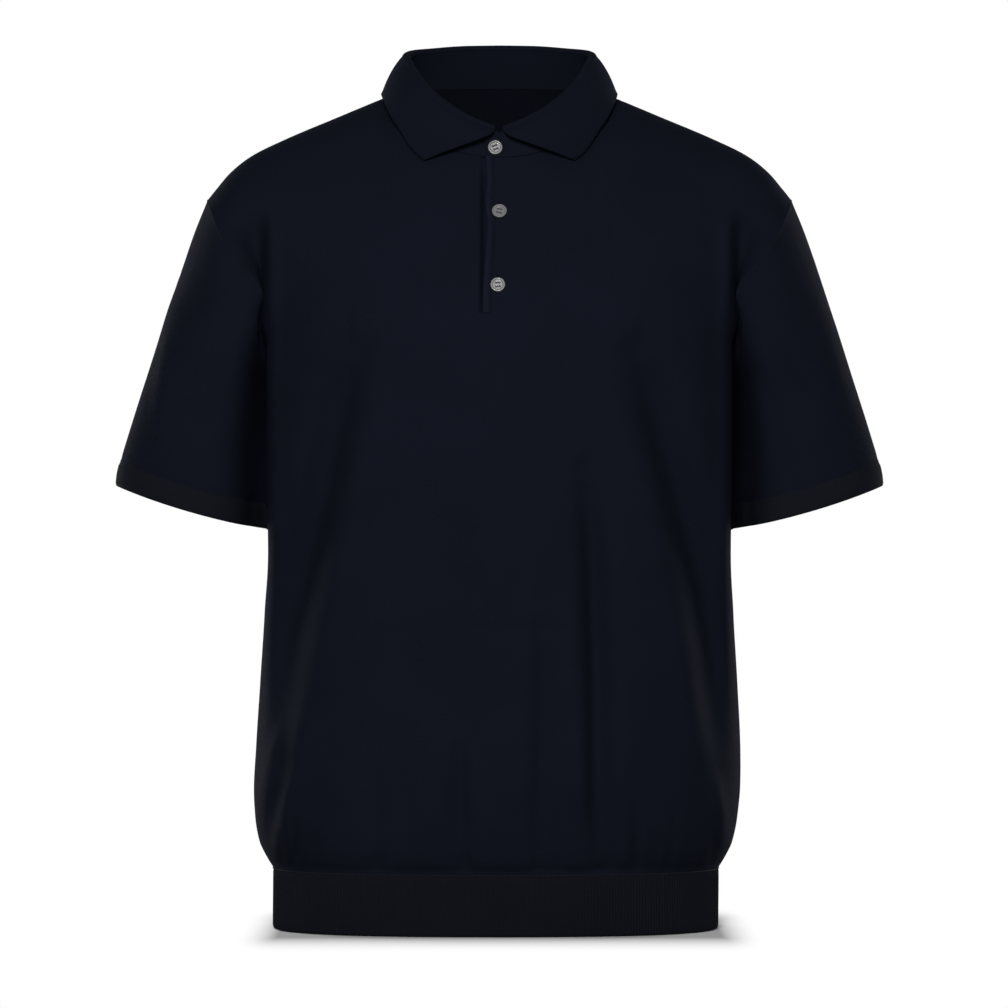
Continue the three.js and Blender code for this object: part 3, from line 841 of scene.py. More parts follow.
def panel_points(side, f, lower_rows, upper_rows):
    t = np.linspace(0, 1, lower_rows)
    z = RIB_Z + (UNDERARM_Z - RIB_Z) * (t * 0.7 + 0.3 * t**2)
    w = np.concatenate(
        [np.linspace(0, SLIT_W, upper_rows // 8 + 2)[1:], np.linspace(SLIT_W, 1, upper_rows - upper_rows // 8)[1:]]
    )
    low = torso(side, f[None, :], z[:, None])
    high = rise(side, f[None, :], w[:, None])
    points = np.concatenate([low, high])
    rows = np.concatenate([-np.ones(len(z)), w])
    crease = bump(np.abs(f), NECK_F, 0.055)[None, :] * smooth(0.1, 0.4, rows)[:, None]
    crease *= 1 - smooth(0.93, 1.0, rows)[:, None] * 0.6
    points = relax(points, np.clip(crease, 0, 0.9), 120)
    joint = bump(rows[:, None], 0.0, 0.12) * np.ones_like(crease)
    points = relax(points, np.clip(joint, 0, 0.6) * (1 - shoulder_place(f)[None, :] ** 6), 12)
    return points, rows


def edge_guard(f, rows):
    """1 over a panel and 0 along its sewn edges, so that the seams still meet."""
    q = shoulder_place(f)[None, :]
    sides = 1 - smooth(0.8, 1.0, q)
    top = 1 - smooth(0.93, 1.0, rows)[:, None]
    return sides * top


def arm_fold(points):
    """The upright fold in front of each sleeve, with the hollow beyond it."""
    x, z = np.abs(points[..., 0]), points[..., 2]
    run = smooth(-96, -135, z) * (1 - smooth(-345, -420, z))
    fold = 4.5 * bump(x, 189, 7) * run
    ledge = smooth(190, 201, x) * (1 - smooth(204, 230, x))
    hollow = -9.0 * ledge * smooth(-100, -128, z) * (1 - smooth(-185, -212, z))
    return fold + hollow


def build_panel(name, side, folds, places, lower_rows, upper_rows, step, cells):
    f = panel_columns(step, cells)
    points, rows = panel_points(side, f, lower_rows, upper_rows)
    deep = knit_settings().fold_depth
    height = fold_field(points, folds) + gathers(points, places, 7 + side)
    height += arm_fold(points) * (1 if side == FRONT else 0.45)
    height += 0.35 * wander(points[..., 0] + 0.6 * points[..., 2], 21 + side, 46.0)
    guard = edge_guard(f, rows) * smooth(RIB_Z, RIB_Z + 5, points[..., 2])
    height -= 1.6 * bump(points[..., 2], RIB_Z + 3.5, 2.6)
    near_slit = bump(points[..., 0], -4.5, 30) * smooth(-0.02, SLIT_W, rows)[:, None]
    points[..., 1] += side * height * deep * guard * (1 - near_slit)
    keep = None
    if side == FRONT:
        x = (f[:-1] + f[1:]) / 2 * CHEST_HALF
        inside = (x > SLIT_LEFT) & (x < SLIT_RIGHT)
        above = (rows[:-1] + rows[1:]) / 2 > SLIT_W
        keep = ~(above[:, None] & inside[None, :])
    piece = cloth(name, points, body_cloth(), out=-side, keep=keep)
    return piece, points, f, rows


class SWEATER_OT_front(bpy.types.Operator):
    """Build the front panel with its folds and placket slit"""

    bl_idname = "sweater.front"
    bl_label = "Front panel"

    def execute(self, context):
        piece, *_ = build_panel("front_jersey", FRONT, FRONT_FOLDS, FRONT_GATHERS, 132, 92, 2.3, 58)
        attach(piece, "root")
        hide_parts("front_panel")
        return {"FINISHED"}


class SWEATER_OT_back(bpy.types.Operator):
    """Build the back panel"""

    bl_idname = "sweater.back"
    bl_label = "Back panel"

    def execute(self, context):
        piece, *_ = build_panel("back_jersey", BACK, BACK_FOLDS, BACK_GATHERS, 104, 72, 2.9, 46)
        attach(piece, "root")
        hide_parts("back_panel")
        return {"FINISHED"}


# ---- sleeves ------------------------------------------------------------------------------------------------------
def sleeve_ring(table, t, a):
    """Points of a sleeve's rings on the wearer's left; a is 0 at its outer line."""
    r = {k: v[:, None] for k, v in read(table, t).items()}
    cosine, sine = np.cos(a)[None, :], np.sin(a)[None, :]
    mid_x = (r["outX"] + r["inX"]) / 2
    x = mid_x + (r["outX"] - r["inX"]) / 2 * cosine
    z = (r["outZ"] + r["inZ"]) / 2 + (r["outZ"] - r["inZ"]) / 2 * cosine - r["sag"] * sine**2
    y = r["y"] - sine * np.where(sine > 0, r["front"], r["back"])
    # Beside the body the sleeve's front turns back into a deep crease.
    past = np.clip((-cosine - 0.05) / 0.64, 0, 1)
    tucked = r["y"] - r["front"] * (1 - past**2.6) ** 0.5 + 26 * smooth(0.64, 0.9, -cosine)
    part = smooth(0.06, 0.4, t)[:, None] if table is SLEEVE else np.ones((len(t), 1))
    y = np.where((sine > 0) & (cosine < -0.05), y + (tucked - y) * part, y)
    behind = r["y"] + np.hypot(sine * r["back"], 26 * part * smooth(0.64, 0.9, -cosine))
    y = np.where((sine <= 0) & (cosine < 0), behind, y)
    low = np.minimum(z, UNDERARM_Z)
    body = np.where(sine > 0, side_of(FRONT, y, low), side_of(BACK, y, low))
    clear = body + BESIDE + 9 * smooth(-275, -220, z) * np.abs(sine)
    x = np.where((x < mid_x) & (z < -150), np.maximum(x, clear), x)
    return stack(x, y, z)


def sleeve_points(table, t, a, bowed):
    points = sleeve_ring(table, t, a)
    if bowed:
        folded = np.arccos(np.cos(a))
        seam = np.where(
            (np.sin(a) > 0)[:, None], armhole(1, FRONT, folded), armhole(1, BACK, folded)
        )
        plain = sleeve_ring(table, np.zeros(1), a)[0]
        fade = (1 - np.clip(t / 0.3, 0, 1)) ** 2
        points = points + (seam - plain)[None] * fade[:, None, None]
    return points


SLEEVE_FOLDS = {
    "right": (
        (2.0, 8, ((268, -165), (274, -186), (281, -240), (287, -300))),
        (-2.4, 9, ((216, -190), (236, -230), (262, -262))),
        (-1.6, 7, ((222, -222), (244, -262), (258, -300))),
    ),
    "left": (
        (1.2, 10, ((262, -150), (278, -215), (294, -290))),
        (-2.6, 9, ((218, -195), (242, -232), (270, -258))),
        (-1.8, 8, ((214, -232), (232, -276), (240, -320))),
    ),
}


def flat_normals(points):
    """Outward directions of a ring grid, kept level so that its ends stay where they are."""
    return unit(normals(points, 1, ring=True) * [1, 1, 0])


def build_sleeve(word, sign):
    a = np.linspace(0, 2 * np.pi, 128, endpoint=False)
    t = np.linspace(0, 1, 84)
    points = sleeve_points(SLEEVE, t, a, True)
    weight = np.zeros(points.shape[:2])
    weight[1:-1] = 0.5
    for _ in range(14):
        mean = (np.roll(points, 1, 1) + np.roll(points, -1, 1)) / 2
        mean[1:-1] = (mean[1:-1] + (points[:-2] + points[2:]) / 2) / 2
        points = points + (mean - points) * weight[..., None]
    height = fold_field(points, SLEEVE_FOLDS[word]) * np.where(np.sin(a) > 0, 1, 0.6)[None, :]
    height += 0.3 * wander(points[..., 0] + points[..., 2], 31 + sign, 40.0)
    pinch = -0.7 * bump(t, 1.0, 0.02)
    guard = smooth(0, 0.08, t) * (1 - smooth(0.97, 1, t))
    height = height * guard[:, None] * knit_settings().fold_depth + pinch[:, None]
    points = points + flat_normals(points) * height[..., None]
    tuck = points[-1] - flat_normals(points)[-1] * 1.1 - [0, 0, 3.0]
    points = np.concatenate([points, tuck[None]])
    points[..., 0] *= sign
    return cloth("sleeve_jersey_" + word, points, body_cloth(), out=sign, ring=True)


def build_cuff(word, sign):
    a = np.linspace(0, 2 * np.pi, 128, endpoint=False)
    t = np.linspace(0, 1, 15)
    points = sleeve_points(CUFF, t, a, False)
    points[0, :, 2] += 0.8
    swell = 0.7 * np.sin(np.pi * np.clip(t * 1.04, 0, 1)) - 1.0 * bump(t, 0, 0.08)
    swell -= 0.9 * smooth(0.9, 1.0, t)
    points = points + flat_normals(points) * swell[:, None, None]
    points[..., 0] *= sign
    return cloth("cuff_band_" + word, points, band_cloth(), out=sign, ring=True, wall=2.0), points


class SWEATER_OT_sleeves(bpy.types.Operator):
    """Build both sleeves with their hem bands and linked seams"""

    bl_idname = "sweater.sleeves"
    bl_label = "Sleeves and bands"

    def execute(self, context):
        for word, sign in (("left", 1), ("right", -1)):
            sleeve = build_sleeve(word, sign)
            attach(sleeve, "root")
            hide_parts("sleeve_" + word)
            cuff, ring = build_cuff(word, sign)
            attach(cuff, "root")
            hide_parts("cuff_" + word)
            a = np.linspace(0, np.pi, 160)
            seam = np.concatenate(
                [armhole(sign, FRONT, a), armhole(sign, BACK, a[::-1])[1:]]
            )
            middle = np.array([sign * 214.0, ARM_Y, -150.0])
            sewn = chain("armhole_link_" + word, seam, unit(seam - middle), seam_yarn(), lift=0.1)
            edge = np.concatenate([ring[0], ring[0][:1]])
            centre = ring[0].mean(axis=0)
            band = chain("cuff_link_" + word, edge, unit(edge - centre), seam_yarn(), radius=0.3)
            for piece in (sewn, band):
                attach(piece, "root")
        return {"FINISHED"}


# ---- waist rib ------------------------------------------------------------------------------------------------------
def rib_outline(angles):
    f = np.sign(np.sin(angles)) * np.abs(np.sin(angles)) ** (2 / ROUNDNESS)
    front, back = torso(FRONT, f, RIB_Z), torso(BACK, f, RIB_Z)
    return np.where((np.cos(angles) > 0)[:, None], front, back)


def even_ring(outline, count):
    """A closed outline read at even steps along its length."""
    closed = np.concatenate([outline, outline[:1]])
    run = np.concatenate([[0], np.cumsum(np.linalg.norm(np.diff(closed, axis=0), axis=1))])
    at = np.linspace(0, run[-1], count, endpoint=False)
    return np.stack([np.interp(at, run, closed[:, k]) for k in range(3)], axis=1), run[-1]


class SWEATER_OT_waist_rib(bpy.types.Operator):
    """Build the waist band, rib by rib"""

    bl_idname = "sweater.waist_rib"
    bl_label = "Waist rib"

    def execute(self, context):
        k = knit_settings()
        fine = rib_outline(np.linspace(0, 2 * np.pi, 4000, endpoint=False))
        _, around = even_ring(fine, 100)
        ribs = int(around / (k.rib_pitch / MM))
        ring, around = even_ring(fine, ribs * 6)
        z = np.concatenate([[HEM_Z, HEM_Z + 0.7], np.linspace(HEM_Z + 3, RIB_Z - 2.5, 9), [RIB_Z]])
        points = np.repeat(ring[None], len(z), axis=0)
        points[..., 2] = z[:, None]
        out = unit((np.roll(ring, -1, 0) - np.roll(ring, 1, 0))[:, [1, 0, 2]] * [1, -1, 1])
        out = out * np.sign((out * (ring - ring.mean(0))).sum(1))[:, None]
        phase = np.arange(ribs * 6) / 6 * 2 * np.pi
        crest = (0.5 + 0.5 * np.cos(phase)) ** 0.7
        end = smooth(HEM_Z - 2, HEM_Z + 3, z) * (1 - 0.8 * smooth(RIB_Z - 3, RIB_Z, z))
        run = np.arange(ribs * 6) / 6 * k.rib_pitch / MM
        sway = 0.9 * wander(run, 5, 60.0)[None, :] * smooth(RIB_Z, HEM_Z, z)[:, None]
        height = crest[None, :] * end[:, None] * k.rib_depth / MM + sway
        height -= 0.8 * (1 - smooth(HEM_Z - 1, HEM_Z + 2, z))[:, None]
        points = points + out[None] * height[..., None]
        band = cloth("waist_rib_band", points, rib_cloth(), out=1, ring=True, wall=1.6)
        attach(band, "root")
        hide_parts("waist_rib")
        seam = np.concatenate([fine[::8], fine[:1]])
        seam = seam + [0, 0, 0.2]
        pale = yarn("waist_yarn", colours().waist)
        link = chain("waist_link", seam, unit(seam - seam.mean(0)), pale, radius=0.4, lift=0.7)
        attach(link, "root")
        return {"FINISHED"}


# ---- placket -----------------------------------------------------------------------------------------------------------
def placket_points(x_of, depth, rows=90, cols=26):
    w = np.linspace(SLIT_W, 1, rows)
    spread = np.linspace(0, 1, cols)
    z = rise(FRONT, np.zeros(rows), w)[:, 2]
    x = x_of(z[:, None], spread[None, :])
    f = x / CHEST_HALF
    step = 0.004
    w2 = np.broadcast_to(w[:, None], x.shape)
    inner = np.minimum(w2, 1 - step)
    across = rise(FRONT, f + step, inner) - rise(FRONT, f - step, inner)
    up = rise(FRONT, f, inner + step) - rise(FRONT, f, inner - step)
    out = unit(np.cross(across, up))
    return rise(FRONT, f, w2) + out * depth(x, z[:, None], spread[None, :])[..., None]


class SWEATER_OT_placket(bpy.types.Operator):
    """Build the over and under bands of the placket and the buttonholes"""

    bl_idname = "sweater.placket"
    bl_label = "Placket"

    def execute(self, context):
        def over_x(z, s):
            left = read(BAND_EDGE, z)["x"]
            return left + (SLIT_RIGHT - left) * s**1.15

        def over_depth(x, z, s):
            left = read(BAND_EDGE, z)["x"]
            away = np.clip((x - left) / 1.9, 0, 1)
            roll = 1.7 * (1 - np.sqrt(1 - (1 - away) ** 2))
            lift = 2.4 * bump(x, left + 2.5, 4.5) * smooth(-203, -186, z)
            return lift - roll - 0.35 * bump(x, left + 8, 1.0)

        def under_x(z, s):
            return SLIT_LEFT + (9.0 - SLIT_LEFT) * s + 0 * z

        def under_depth(x, z, s):
            seam = 0.8 * bump(x, SLIT_LEFT + 1.2, 1.1) * smooth(-150, -120, z)
            drop = 6.6 - 4.4 * smooth(-90, -63, z) - 2.0 * smooth(-165, -195, z)
            drop = drop * smooth(SLIT_LEFT + 4, SLIT_LEFT + 9.5, x)
            return seam * smooth(SLIT_LEFT, SLIT_LEFT + 0.8, x) - drop

        over = cloth("placket_over_band", placket_points(over_x, over_depth), placket_cloth(), wall=1.5)
        under = cloth("placket_under_band", placket_points(under_x, under_depth), body_cloth(), wall=1.5)
        for piece, node in ((over, "placket_over"), (under, "placket_under")):
            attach(piece, "root")
            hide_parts(node)
        for name, x, z, lie in BUTTONS:
            at, out = button_seat(name, x, z)
            side = unit(np.cross(out, [0, 0, 1.0]))
            up = unit(np.cross(side, out))
            long, wide = (side, up) if lie == "across" else (up, side)
            at = at + out * 0.35 + (long * 1.6 if lie == "up" else side * -1.2)
            half, gap = 7.6, 1.15
            steps = np.linspace(-half, half, 20)
            rows = [(at + long * s - wide * gap, at + long * s - wide * gap * 0.3) for s in steps]
            rows += [(at + long * s + wide * gap, at + long * s + wide * gap * 0.3) for s in steps]
            rows += [(at + long * e - wide * gap, at + long * e + wide * gap) for e in (-half, half)]
            rows += [
                (at + long * e * 1.06 - wide * gap, at + long * e * 1.06 + wide * gap)
                for e in (-half, half)
            ]
            hole = stitches("buttonhole_" + name, rows, 0.3, seam_yarn())
            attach(hole, "root")
        return {"FINISHED"}


# ---- collar ------------------------------------------------------------------------------------------------------------
OVER_END, UNDER_END = -8.2, 6.5


def neck_at(phi):
    x = NECK_HALF * np.sin(np.radians(phi))
    front = (np.abs(phi) <= 90)[..., None]
    return np.where(front, neck_line(FRONT, x), neck_line(BACK, x))


def roll_at(phi):
    r = read(ROLL, np.abs(phi))
    return stack(np.sign(phi) * r["x"], r["y"], r["z"])


def stand_frame(phi):
    phi = np.asarray(phi, float)
    up = unit(roll_at(phi) - neck_at(phi))
    along = roll_at(phi + 2) - roll_at(phi - 2)
    along = np.where((np.abs(phi) > 176)[..., None], np.array([-1.0, 0, 0]), along)
    out = unit(np.cross(along, up))
    return up, out, roll_at(phi) - up * FOLD_RADIUS


def stand_points(phi, s, over):
    up, out, centre = stand_frame(phi)
    low = neck_at(phi)
    along = centre - out * (FOLD_RADIUS - 2.0) - low
    size = np.linalg.norm(along, axis=-1)
    cut = 9.5 * smooth(-3.4, OVER_END, phi) ** 1.4 if over else 0 * phi
    lift, drop = 0.5 / size, (0.2 + cut) / size
    t = lift[None, :] + (1 - lift - drop)[None, :] * s[:, None]
    inset = 0 * phi if over else 2.6 * smooth(-24, -10, phi)
    return low[None] + along[None] * t[..., None] - (out * inset[:, None])[None]


def seat_on_panels(sign, x, z, front, lift):
    """Points on the panels at a distance across and a height, lifted off their surface."""
    found = []
    for side in (FRONT, BACK):
        f, w = x / CHEST_HALF, np.full_like(x, 0.9)
        for _ in range(40):
            at = rise(side, f, w)
            slope = (at - rise(side, f, w - 0.01))[..., 2] / 0.01
            f = np.clip(f + 0.6 * (x - at[..., 0]) / CHEST_HALF, 0, 1)
            w = np.clip(w + 0.7 * (z - at[..., 2]) / np.maximum(slope, 30), 0, 1)
        inner = np.minimum(w, 0.97)
        across = rise(side, f + 0.004, inner) - rise(side, f - 0.004, inner)
        up = rise(side, f, inner + 0.004) - rise(side, f, inner - 0.004)
        n = unit(np.cross(across, up)) * -side
        near = smooth(0.94, 1, w)[:, None]
        n = unit(n * (1 - near) + np.array([0.38, 0, 0.92]) * near)
        found.append(rise(side, f, w) + n * lift)
    return np.where(front[:, None], found[0], found[1]) * stack(sign, 1, 1)


def fall_points(phi, fold_rows=14, leaf_rows=44):
    up, out, centre = stand_frame(phi)
    first = np.where(phi < 0, 3.2, 2.6)
    e = read(EDGE, 8 + (np.abs(phi) - first) * 172 / (180 - first))
    sign = np.where(phi < 0, -1.0, 1.0)
    edge = seat_on_panels(sign, e["x"], e["z"], np.abs(phi) <= 90, 2.6)
    for _ in range(12):
        mean = (edge[:-2] + edge[2:]) / 2
        near = bump(np.abs(phi[1:-1]), 90, 14)[:, None]
        edge[1:-1] += (mean - edge[1:-1]) * near
    turn = np.radians(np.linspace(0, 180, fold_rows))[:, None, None]
    fold = centre[None] + FOLD_RADIUS * (up[None] * np.sin(turn) - out[None] * np.cos(turn))
    start = fold[-1]
    reach = np.linalg.norm(edge - start, axis=1)[:, None]
    bulge = (0.72 - 0.42 * bump(np.abs(phi), 85, 35))[:, None]
    leave = up * -0.5 * reach + out * bulge * reach
    arrive = edge - start - out * 0.36 * reach
    t = np.linspace(0, 1, leaf_rows)[1:]
    leaf = hermite(start[None], edge[None], leave[None], arrive[None], t[:, None])
    return np.concatenate([fold, leaf])


def rest_over(points, names, gap, first, rounds=5):
    """Lift a grid's rows after the first few clear of other pieces, easing the lift in."""
    trees = []
    for name in names:
        mesh = bpy.data.objects[name].data
        faces = [tuple(p.vertices) for p in mesh.polygons]
        trees.append(BVHTree.FromPolygons([v.co for v in mesh.vertices], faces))
    for turn in range(rounds):
        lift = np.zeros_like(points)
        for index in np.ndindex(points.shape[:2]):
            if index[0] < first:
                continue
            at = Vector(points[index] * MM)
            for tree in trees:
                near, normal, _, gone = tree.find_nearest(at)
                off = (at - near).dot(normal) / MM
                if off < 0 and gone / MM < 9 and abs(off) > 0.6 * gone / MM:
                    lift[index] += np.array(normal) * (gap - off)
                elif gone / MM < gap:
                    way = (at - near).normalized() if off > 0 else normal
                    lift[index] += np.array(way) * (gap - gone / MM)
        if turn < rounds - 1:
            eased = lift
            for _ in range(10):
                wide = np.pad(eased, ((1, 1), (1, 1), (0, 0)), mode="edge")
                mean = (wide[:-2, 1:-1] + wide[2:, 1:-1] + wide[1:-1, :-2] + wide[1:-1, 2:]) / 4
                eased = np.where(np.abs(mean) > np.abs(lift), mean, lift * 0.5 + mean * 0.5)
            eased[:first] = 0
            lift = eased
        points = points + lift
    return points


class SWEATER_OT_collar(bpy.types.Operator):
    """Build the collar's stand and its turned-down fall"""

    bl_idname = "sweater.collar"
    bl_label = "Collar"

    def execute(self, context):
        s = np.linspace(0, 1, 22)
        over_phi = np.concatenate([np.linspace(OVER_END, 9, 26)[:-1], np.linspace(9, 179, 150)])
        under_phi = np.concatenate([np.linspace(-180, -24, 140)[:-1], np.linspace(-24, UNDER_END, 34)])
        grid = np.concatenate(
            [stand_points(over_phi, s, True), stand_points(under_phi, s, False)], axis=1
        )
        stand = cloth("collar_stand_knit", grid, collar_cloth(), wall=1.8)
        phi = np.concatenate([np.linspace(2.6, 180, 150), -np.linspace(3.2, 180, 150)[::-1][1:]])
        leaf = fall_points(phi)
        last = np.linspace(0, 1, leaf.shape[0])
        lip = 0.55 * bump(last, 0.965, 0.02) - 1.1 * smooth(0.975, 1.0, last)
        sway = 0.5 * wander(phi, 3, 30.0)
        height = lip[:, None] + sway[None, :] * smooth(0.3, 0.95, last)[:, None]
        leaf = leaf + normals(leaf, -1) * height[..., None]
        leaf = rest_over(leaf, ("front_jersey", "back_jersey"), 2.5, 20)
        inner = np.zeros(leaf.shape[:2])
        inner[14:-3, 2:-2] = 0.8
        leaf = relax(leaf, inner, 24)
        over_ridge = 0.8 * bump(np.abs(phi[1:-1]), 58, 22)[None, :, None]
        for _ in range(24):
            leaf[-4:, 1:-1] += ((leaf[-4:, :-2] + leaf[-4:, 2:]) / 2 - leaf[-4:, 1:-1]) * over_ridge
        fall = cloth("collar_fall_knit", leaf, collar_cloth(), out=-1, wall=1.8)
        for piece, node in ((stand, "collar_stand"), (fall, "collar_fall")):
            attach(piece, "root")
            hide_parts(node)
        neck = np.linspace(100, 260, 200)
        neck = np.where(neck > 180, neck - 360, neck)
        seam = neck_at(neck)
        _, out, _ = stand_frame(neck)
        inner = chain("neck_link", seam - out * 2.4, -out, seam_yarn(), radius=0.3)
        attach(inner, "root")
        return {"FINISHED"}


# ---- buttons ------------------------------------------------------------------------------------------------------------
BUTTONS = (
    ("collar", -3.7, -53.4, "across"),
    ("upper", 0.0, -108.6, "up"),
    ("lower", -1.3, -169.8, "up"),
)
BUTTON_RADIUS, BUTTON_THICK = 6.0, 2.5


def button_seat(name, x, z):
    """Centre and outward direction of a button's place, from its frame solid."""
    low, high = (np.array(c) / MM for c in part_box("button_" + name))
    middle = (low + high) / 2
    step = 0.004
    if name == "collar":
        up, out, _ = stand_frame(np.array([-2.5]))
        out = out[0]
        middle = middle + up[0] * 2.4
    else:
        w = np.linspace(0, 1, 400)
        heights = rise(FRONT, np.full(400, x / CHEST_HALF), w)[:, 2]
        at = float(np.interp(z, heights, w))
        f = np.array([x / CHEST_HALF])
        across = rise(FRONT, f + step, at) - rise(FRONT, f - step, at)
        up = rise(FRONT, f, at + step) - rise(FRONT, f, at - step)
        out = unit(np.cross(across, up))[0]
    return middle - out * BUTTON_THICK / 2, out


def button_mesh(name, at, out, turn, material):
    """A dished disc with a rim and four drilled holes, as a closed surface of rings."""
    side = unit(np.cross([0, 0, 1.0], out))
    up = np.cross(out, side)
    radii = np.concatenate([np.linspace(0.05, 4.6, 26), np.linspace(4.75, BUTTON_RADIUS, 12)])
    count = 72
    angle = np.arange(count) / count * 2 * np.pi
    verts, faces = [], []

    def height(r, a):
        rim = smooth(4.0, 4.9, r) - 0.55 * smooth(5.3, BUTTON_RADIUS, r) ** 2
        h = BUTTON_THICK - 0.75 + 0.75 * rim
        for k in range(4):
            hole = (k + 0.5) * np.pi / 2 + turn
            gap = np.hypot(r * np.cos(a) - 2.2 * np.cos(hole), r * np.sin(a) - 2.2 * np.sin(hole))
            h = h - 1.5 * (1 - smooth(0.62, 0.92, gap))
        return h

    def add(r, a, h):
        verts.append((at + side * r * np.cos(a) + up * r * np.sin(a) + out * h) * MM)

    add(0, 0, float(height(0.0, 0.0)))
    for r in radii:
        for a in angle:
            add(r, a, float(height(r, a)))
    rings = len(radii)
    for r, h in ((BUTTON_RADIUS, 0.9), (BUTTON_RADIUS - 0.7, 0.1)):
        for a in angle:
            add(r, a, h)
    add(0, 0, 0.1)
    last = len(verts) - 1
    for k in range(count):
        n = (k + 1) % count
        faces.append((0, 1 + k, 1 + n))
        for r in range(rings + 1):
            a, b = 1 + r * count, 1 + (r + 1) * count
            faces.append((a + k, b + k, b + n, a + n))
        tail = 1 + (rings + 1) * count
        faces.append((tail + k, last, tail + n))
    return plain_mesh("shell_button_" + name, verts, faces, material)


class SWEATER_OT_buttons(bpy.types.Operator):
    """Build the three buttons and the thread that holds them"""

    bl_idname = "sweater.buttons"
    bl_label = "Buttons"

    def execute(self, context):
        shell = pearl("grey_shell", colours().button)
        thread = yarn("sewing_thread", (0.05, 0.055, 0.07))
        for (name, x, z, _), turn in zip(BUTTONS, (0.35, -0.2, 0.08)):
            at, out = button_seat(name, x, z)
            button = button_mesh(name, at, out, turn, shell)
            side = unit(np.cross([0, 0, 1.0], out))
            up = np.cross(out, side)
            deck = at + out * (BUTTON_THICK - 0.62)
            spots = []
            for k in range(4):
                a = (k + 0.5) * np.pi / 2 + turn
                spots.append(deck + 2.2 * (side * np.cos(a) + up * np.sin(a)))
            rows = []
            for first, second in ((0, 1), (3, 2)):
                across = unit(np.cross(spots[second] - spots[first], out))
                for shift in (-0.3, 0.0, 0.3):
                    rows.append((spots[first] + across * shift, spots[second] + across * shift))
            sewn = stitches("button_thread_" + name, rows, 0.2, thread)
            for piece in (button, sewn):
                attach(piece, "root")
            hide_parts("button_" + name)
        return {"FINISHED"}


# ---- stage ---------------------------------------------------------------------------------------------------------------
def lamp(name, place, target, power, width, height, colour=(1, 1, 1)):
    data = bpy.data.lights.new(name, "AREA")
    data.shape, data.size, data.size_y = "RECTANGLE", width, height
    data.energy, data.color = power, colour
    obj = bpy.data.objects.new(name, data)
    obj.location = place
    obj.rotation_euler = (Vector(target) - Vector(place)).to_track_quat("-Z", "Y").to_euler()
    bpy.context.scene.collection.objects.link(obj)
    return obj


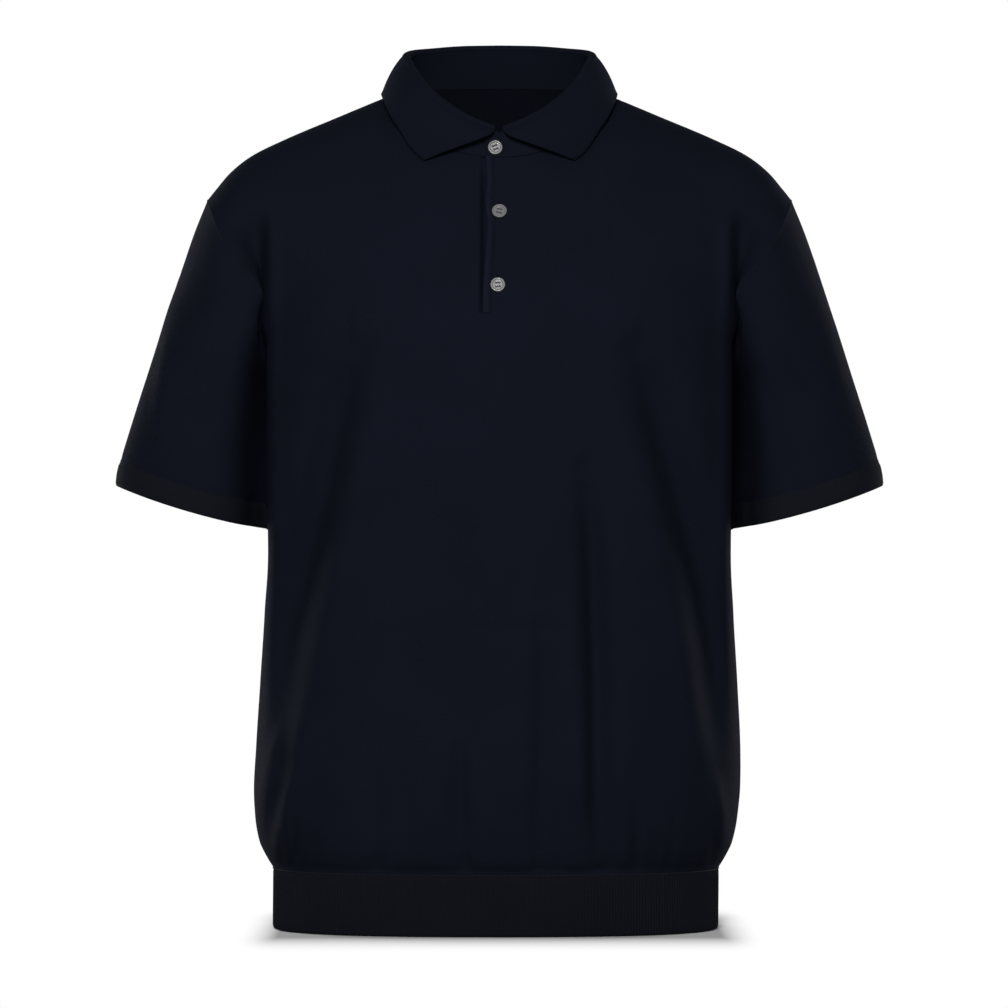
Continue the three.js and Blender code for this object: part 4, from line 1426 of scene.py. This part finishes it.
class SWEATER_OT_stage(bpy.types.Operator):
    """Set the pale floor, the lights and the camera"""

    bl_idname = "sweater.stage"
    bl_label = "Stage"

    def execute(self, context):
        scene = context.scene
        stage = scene.sweater_stage
        low, high = (Vector(c) for c in CAD_BOX)
        floor_z = low.z - 0.0008
        size = 3.0
        corners = [(-size, -size, floor_z), (size, -size, floor_z), (size, size, floor_z), (-size, size, floor_z)]
        white = floor_white("white_floor", (0.5, 0.5, 0.5), (0.183, 0.105), (0.034, 0.17))
        floor = plain_mesh("studio_floor", corners, [(0, 1, 2, 3)], white, False)

        world = bpy.data.worlds.new("white_room")
        scene.world = world
        world.use_nodes = True
        tree = world.node_tree
        tree.nodes.clear()
        path = tree.nodes.new("ShaderNodeLightPath")
        seen = tree.nodes.new("ShaderNodeMath")
        seen.operation = "MAXIMUM"
        tree.links.new(path.outputs["Is Camera Ray"], seen.inputs[0])
        tree.links.new(path.outputs["Is Glossy Ray"], seen.inputs[1])
        strength = tree.nodes.new("ShaderNodeMapRange")
        strength.inputs["To Min"].default_value = stage.sky
        strength.inputs["To Max"].default_value = 1.0
        tree.links.new(seen.outputs[0], strength.inputs[0])
        background = tree.nodes.new("ShaderNodeBackground")
        background.inputs[0].default_value = (1, 1, 1, 1)
        tree.links.new(strength.outputs[0], background.inputs[1])
        output = tree.nodes.new("ShaderNodeOutputWorld")
        tree.links.new(background.outputs[0], output.inputs[0])

        middle = Vector((0, 0, (low.z + high.z) / 2))
        lamp("key", (-0.12, -2.4, 0.45), middle, stage.key, 0.5, 0.5)
        lamp("rear_left", (-1.7, 1.5, -0.15), middle, stage.rear, 1.0, 0.8)
        lamp("rear_right", (1.7, 1.5, -0.15), middle, stage.rear * 0.85, 1.0, 0.8)

        data = bpy.data.cameras.new("camera")
        data.sensor_width = 36.0
        data.lens = data.sensor_width * stage.distance / stage.span
        data.clip_end = 50
        camera = bpy.data.objects.new("camera", data)
        camera.location = (0.0038, -stage.distance, -0.3494)
        camera.rotation_euler = Matrix.Rotation(np.pi / 2, 3, "X").to_euler()
        scene.collection.objects.link(camera)
        scene.camera = camera
        scene.view_settings.view_transform = "Standard"
        return {"FINISHED"}


class SWEATER_PT_panel(bpy.types.Panel):
    """Steps and settings of the sweater"""

    bl_label = "Knit Polo Sweater"
    bl_idname = "SWEATER_PT_panel"
    bl_space_type = "VIEW_3D"
    bl_region_type = "UI"
    bl_category = "Sweater"

    def draw(self, context):
        layout = self.layout
        for step in STEPS:
            layout.operator(step.bl_idname)
        for group in (context.scene.sweater_knit, context.scene.sweater_colours, context.scene.sweater_stage):
            box = layout.box()
            for name in group.__annotations__:
                box.prop(group, name)


STEPS = (
    SWEATER_OT_back,
    SWEATER_OT_front,
    SWEATER_OT_sleeves,
    SWEATER_OT_waist_rib,
    SWEATER_OT_placket,
    SWEATER_OT_collar,
    SWEATER_OT_buttons,
    SWEATER_OT_stage,
)
GROUPS = (
    ("sweater_knit", SweaterKnit),
    ("sweater_colours", SweaterColours),
    ("sweater_stage", SweaterStage),
)


def register():
    for name, group in GROUPS:
        bpy.utils.register_class(group)
        setattr(bpy.types.Scene, name, bpy.props.PointerProperty(type=group))
    for cls in (*STEPS, SWEATER_PT_panel):
        bpy.utils.register_class(cls)


def unregister():
    for cls in (SWEATER_PT_panel, *reversed(STEPS)):
        bpy.utils.unregister_class(cls)
    for name, group in reversed(GROUPS):
        delattr(bpy.types.Scene, name)
        bpy.utils.unregister_class(group)


def main():
    register()
    bpy.ops.sweater.back()
    bpy.ops.sweater.front()
    bpy.ops.sweater.sleeves()
    bpy.ops.sweater.waist_rib()
    bpy.ops.sweater.placket()
    bpy.ops.sweater.collar()
    bpy.ops.sweater.buttons()
    bpy.ops.sweater.stage()


if __name__ == "__main__":
    main()
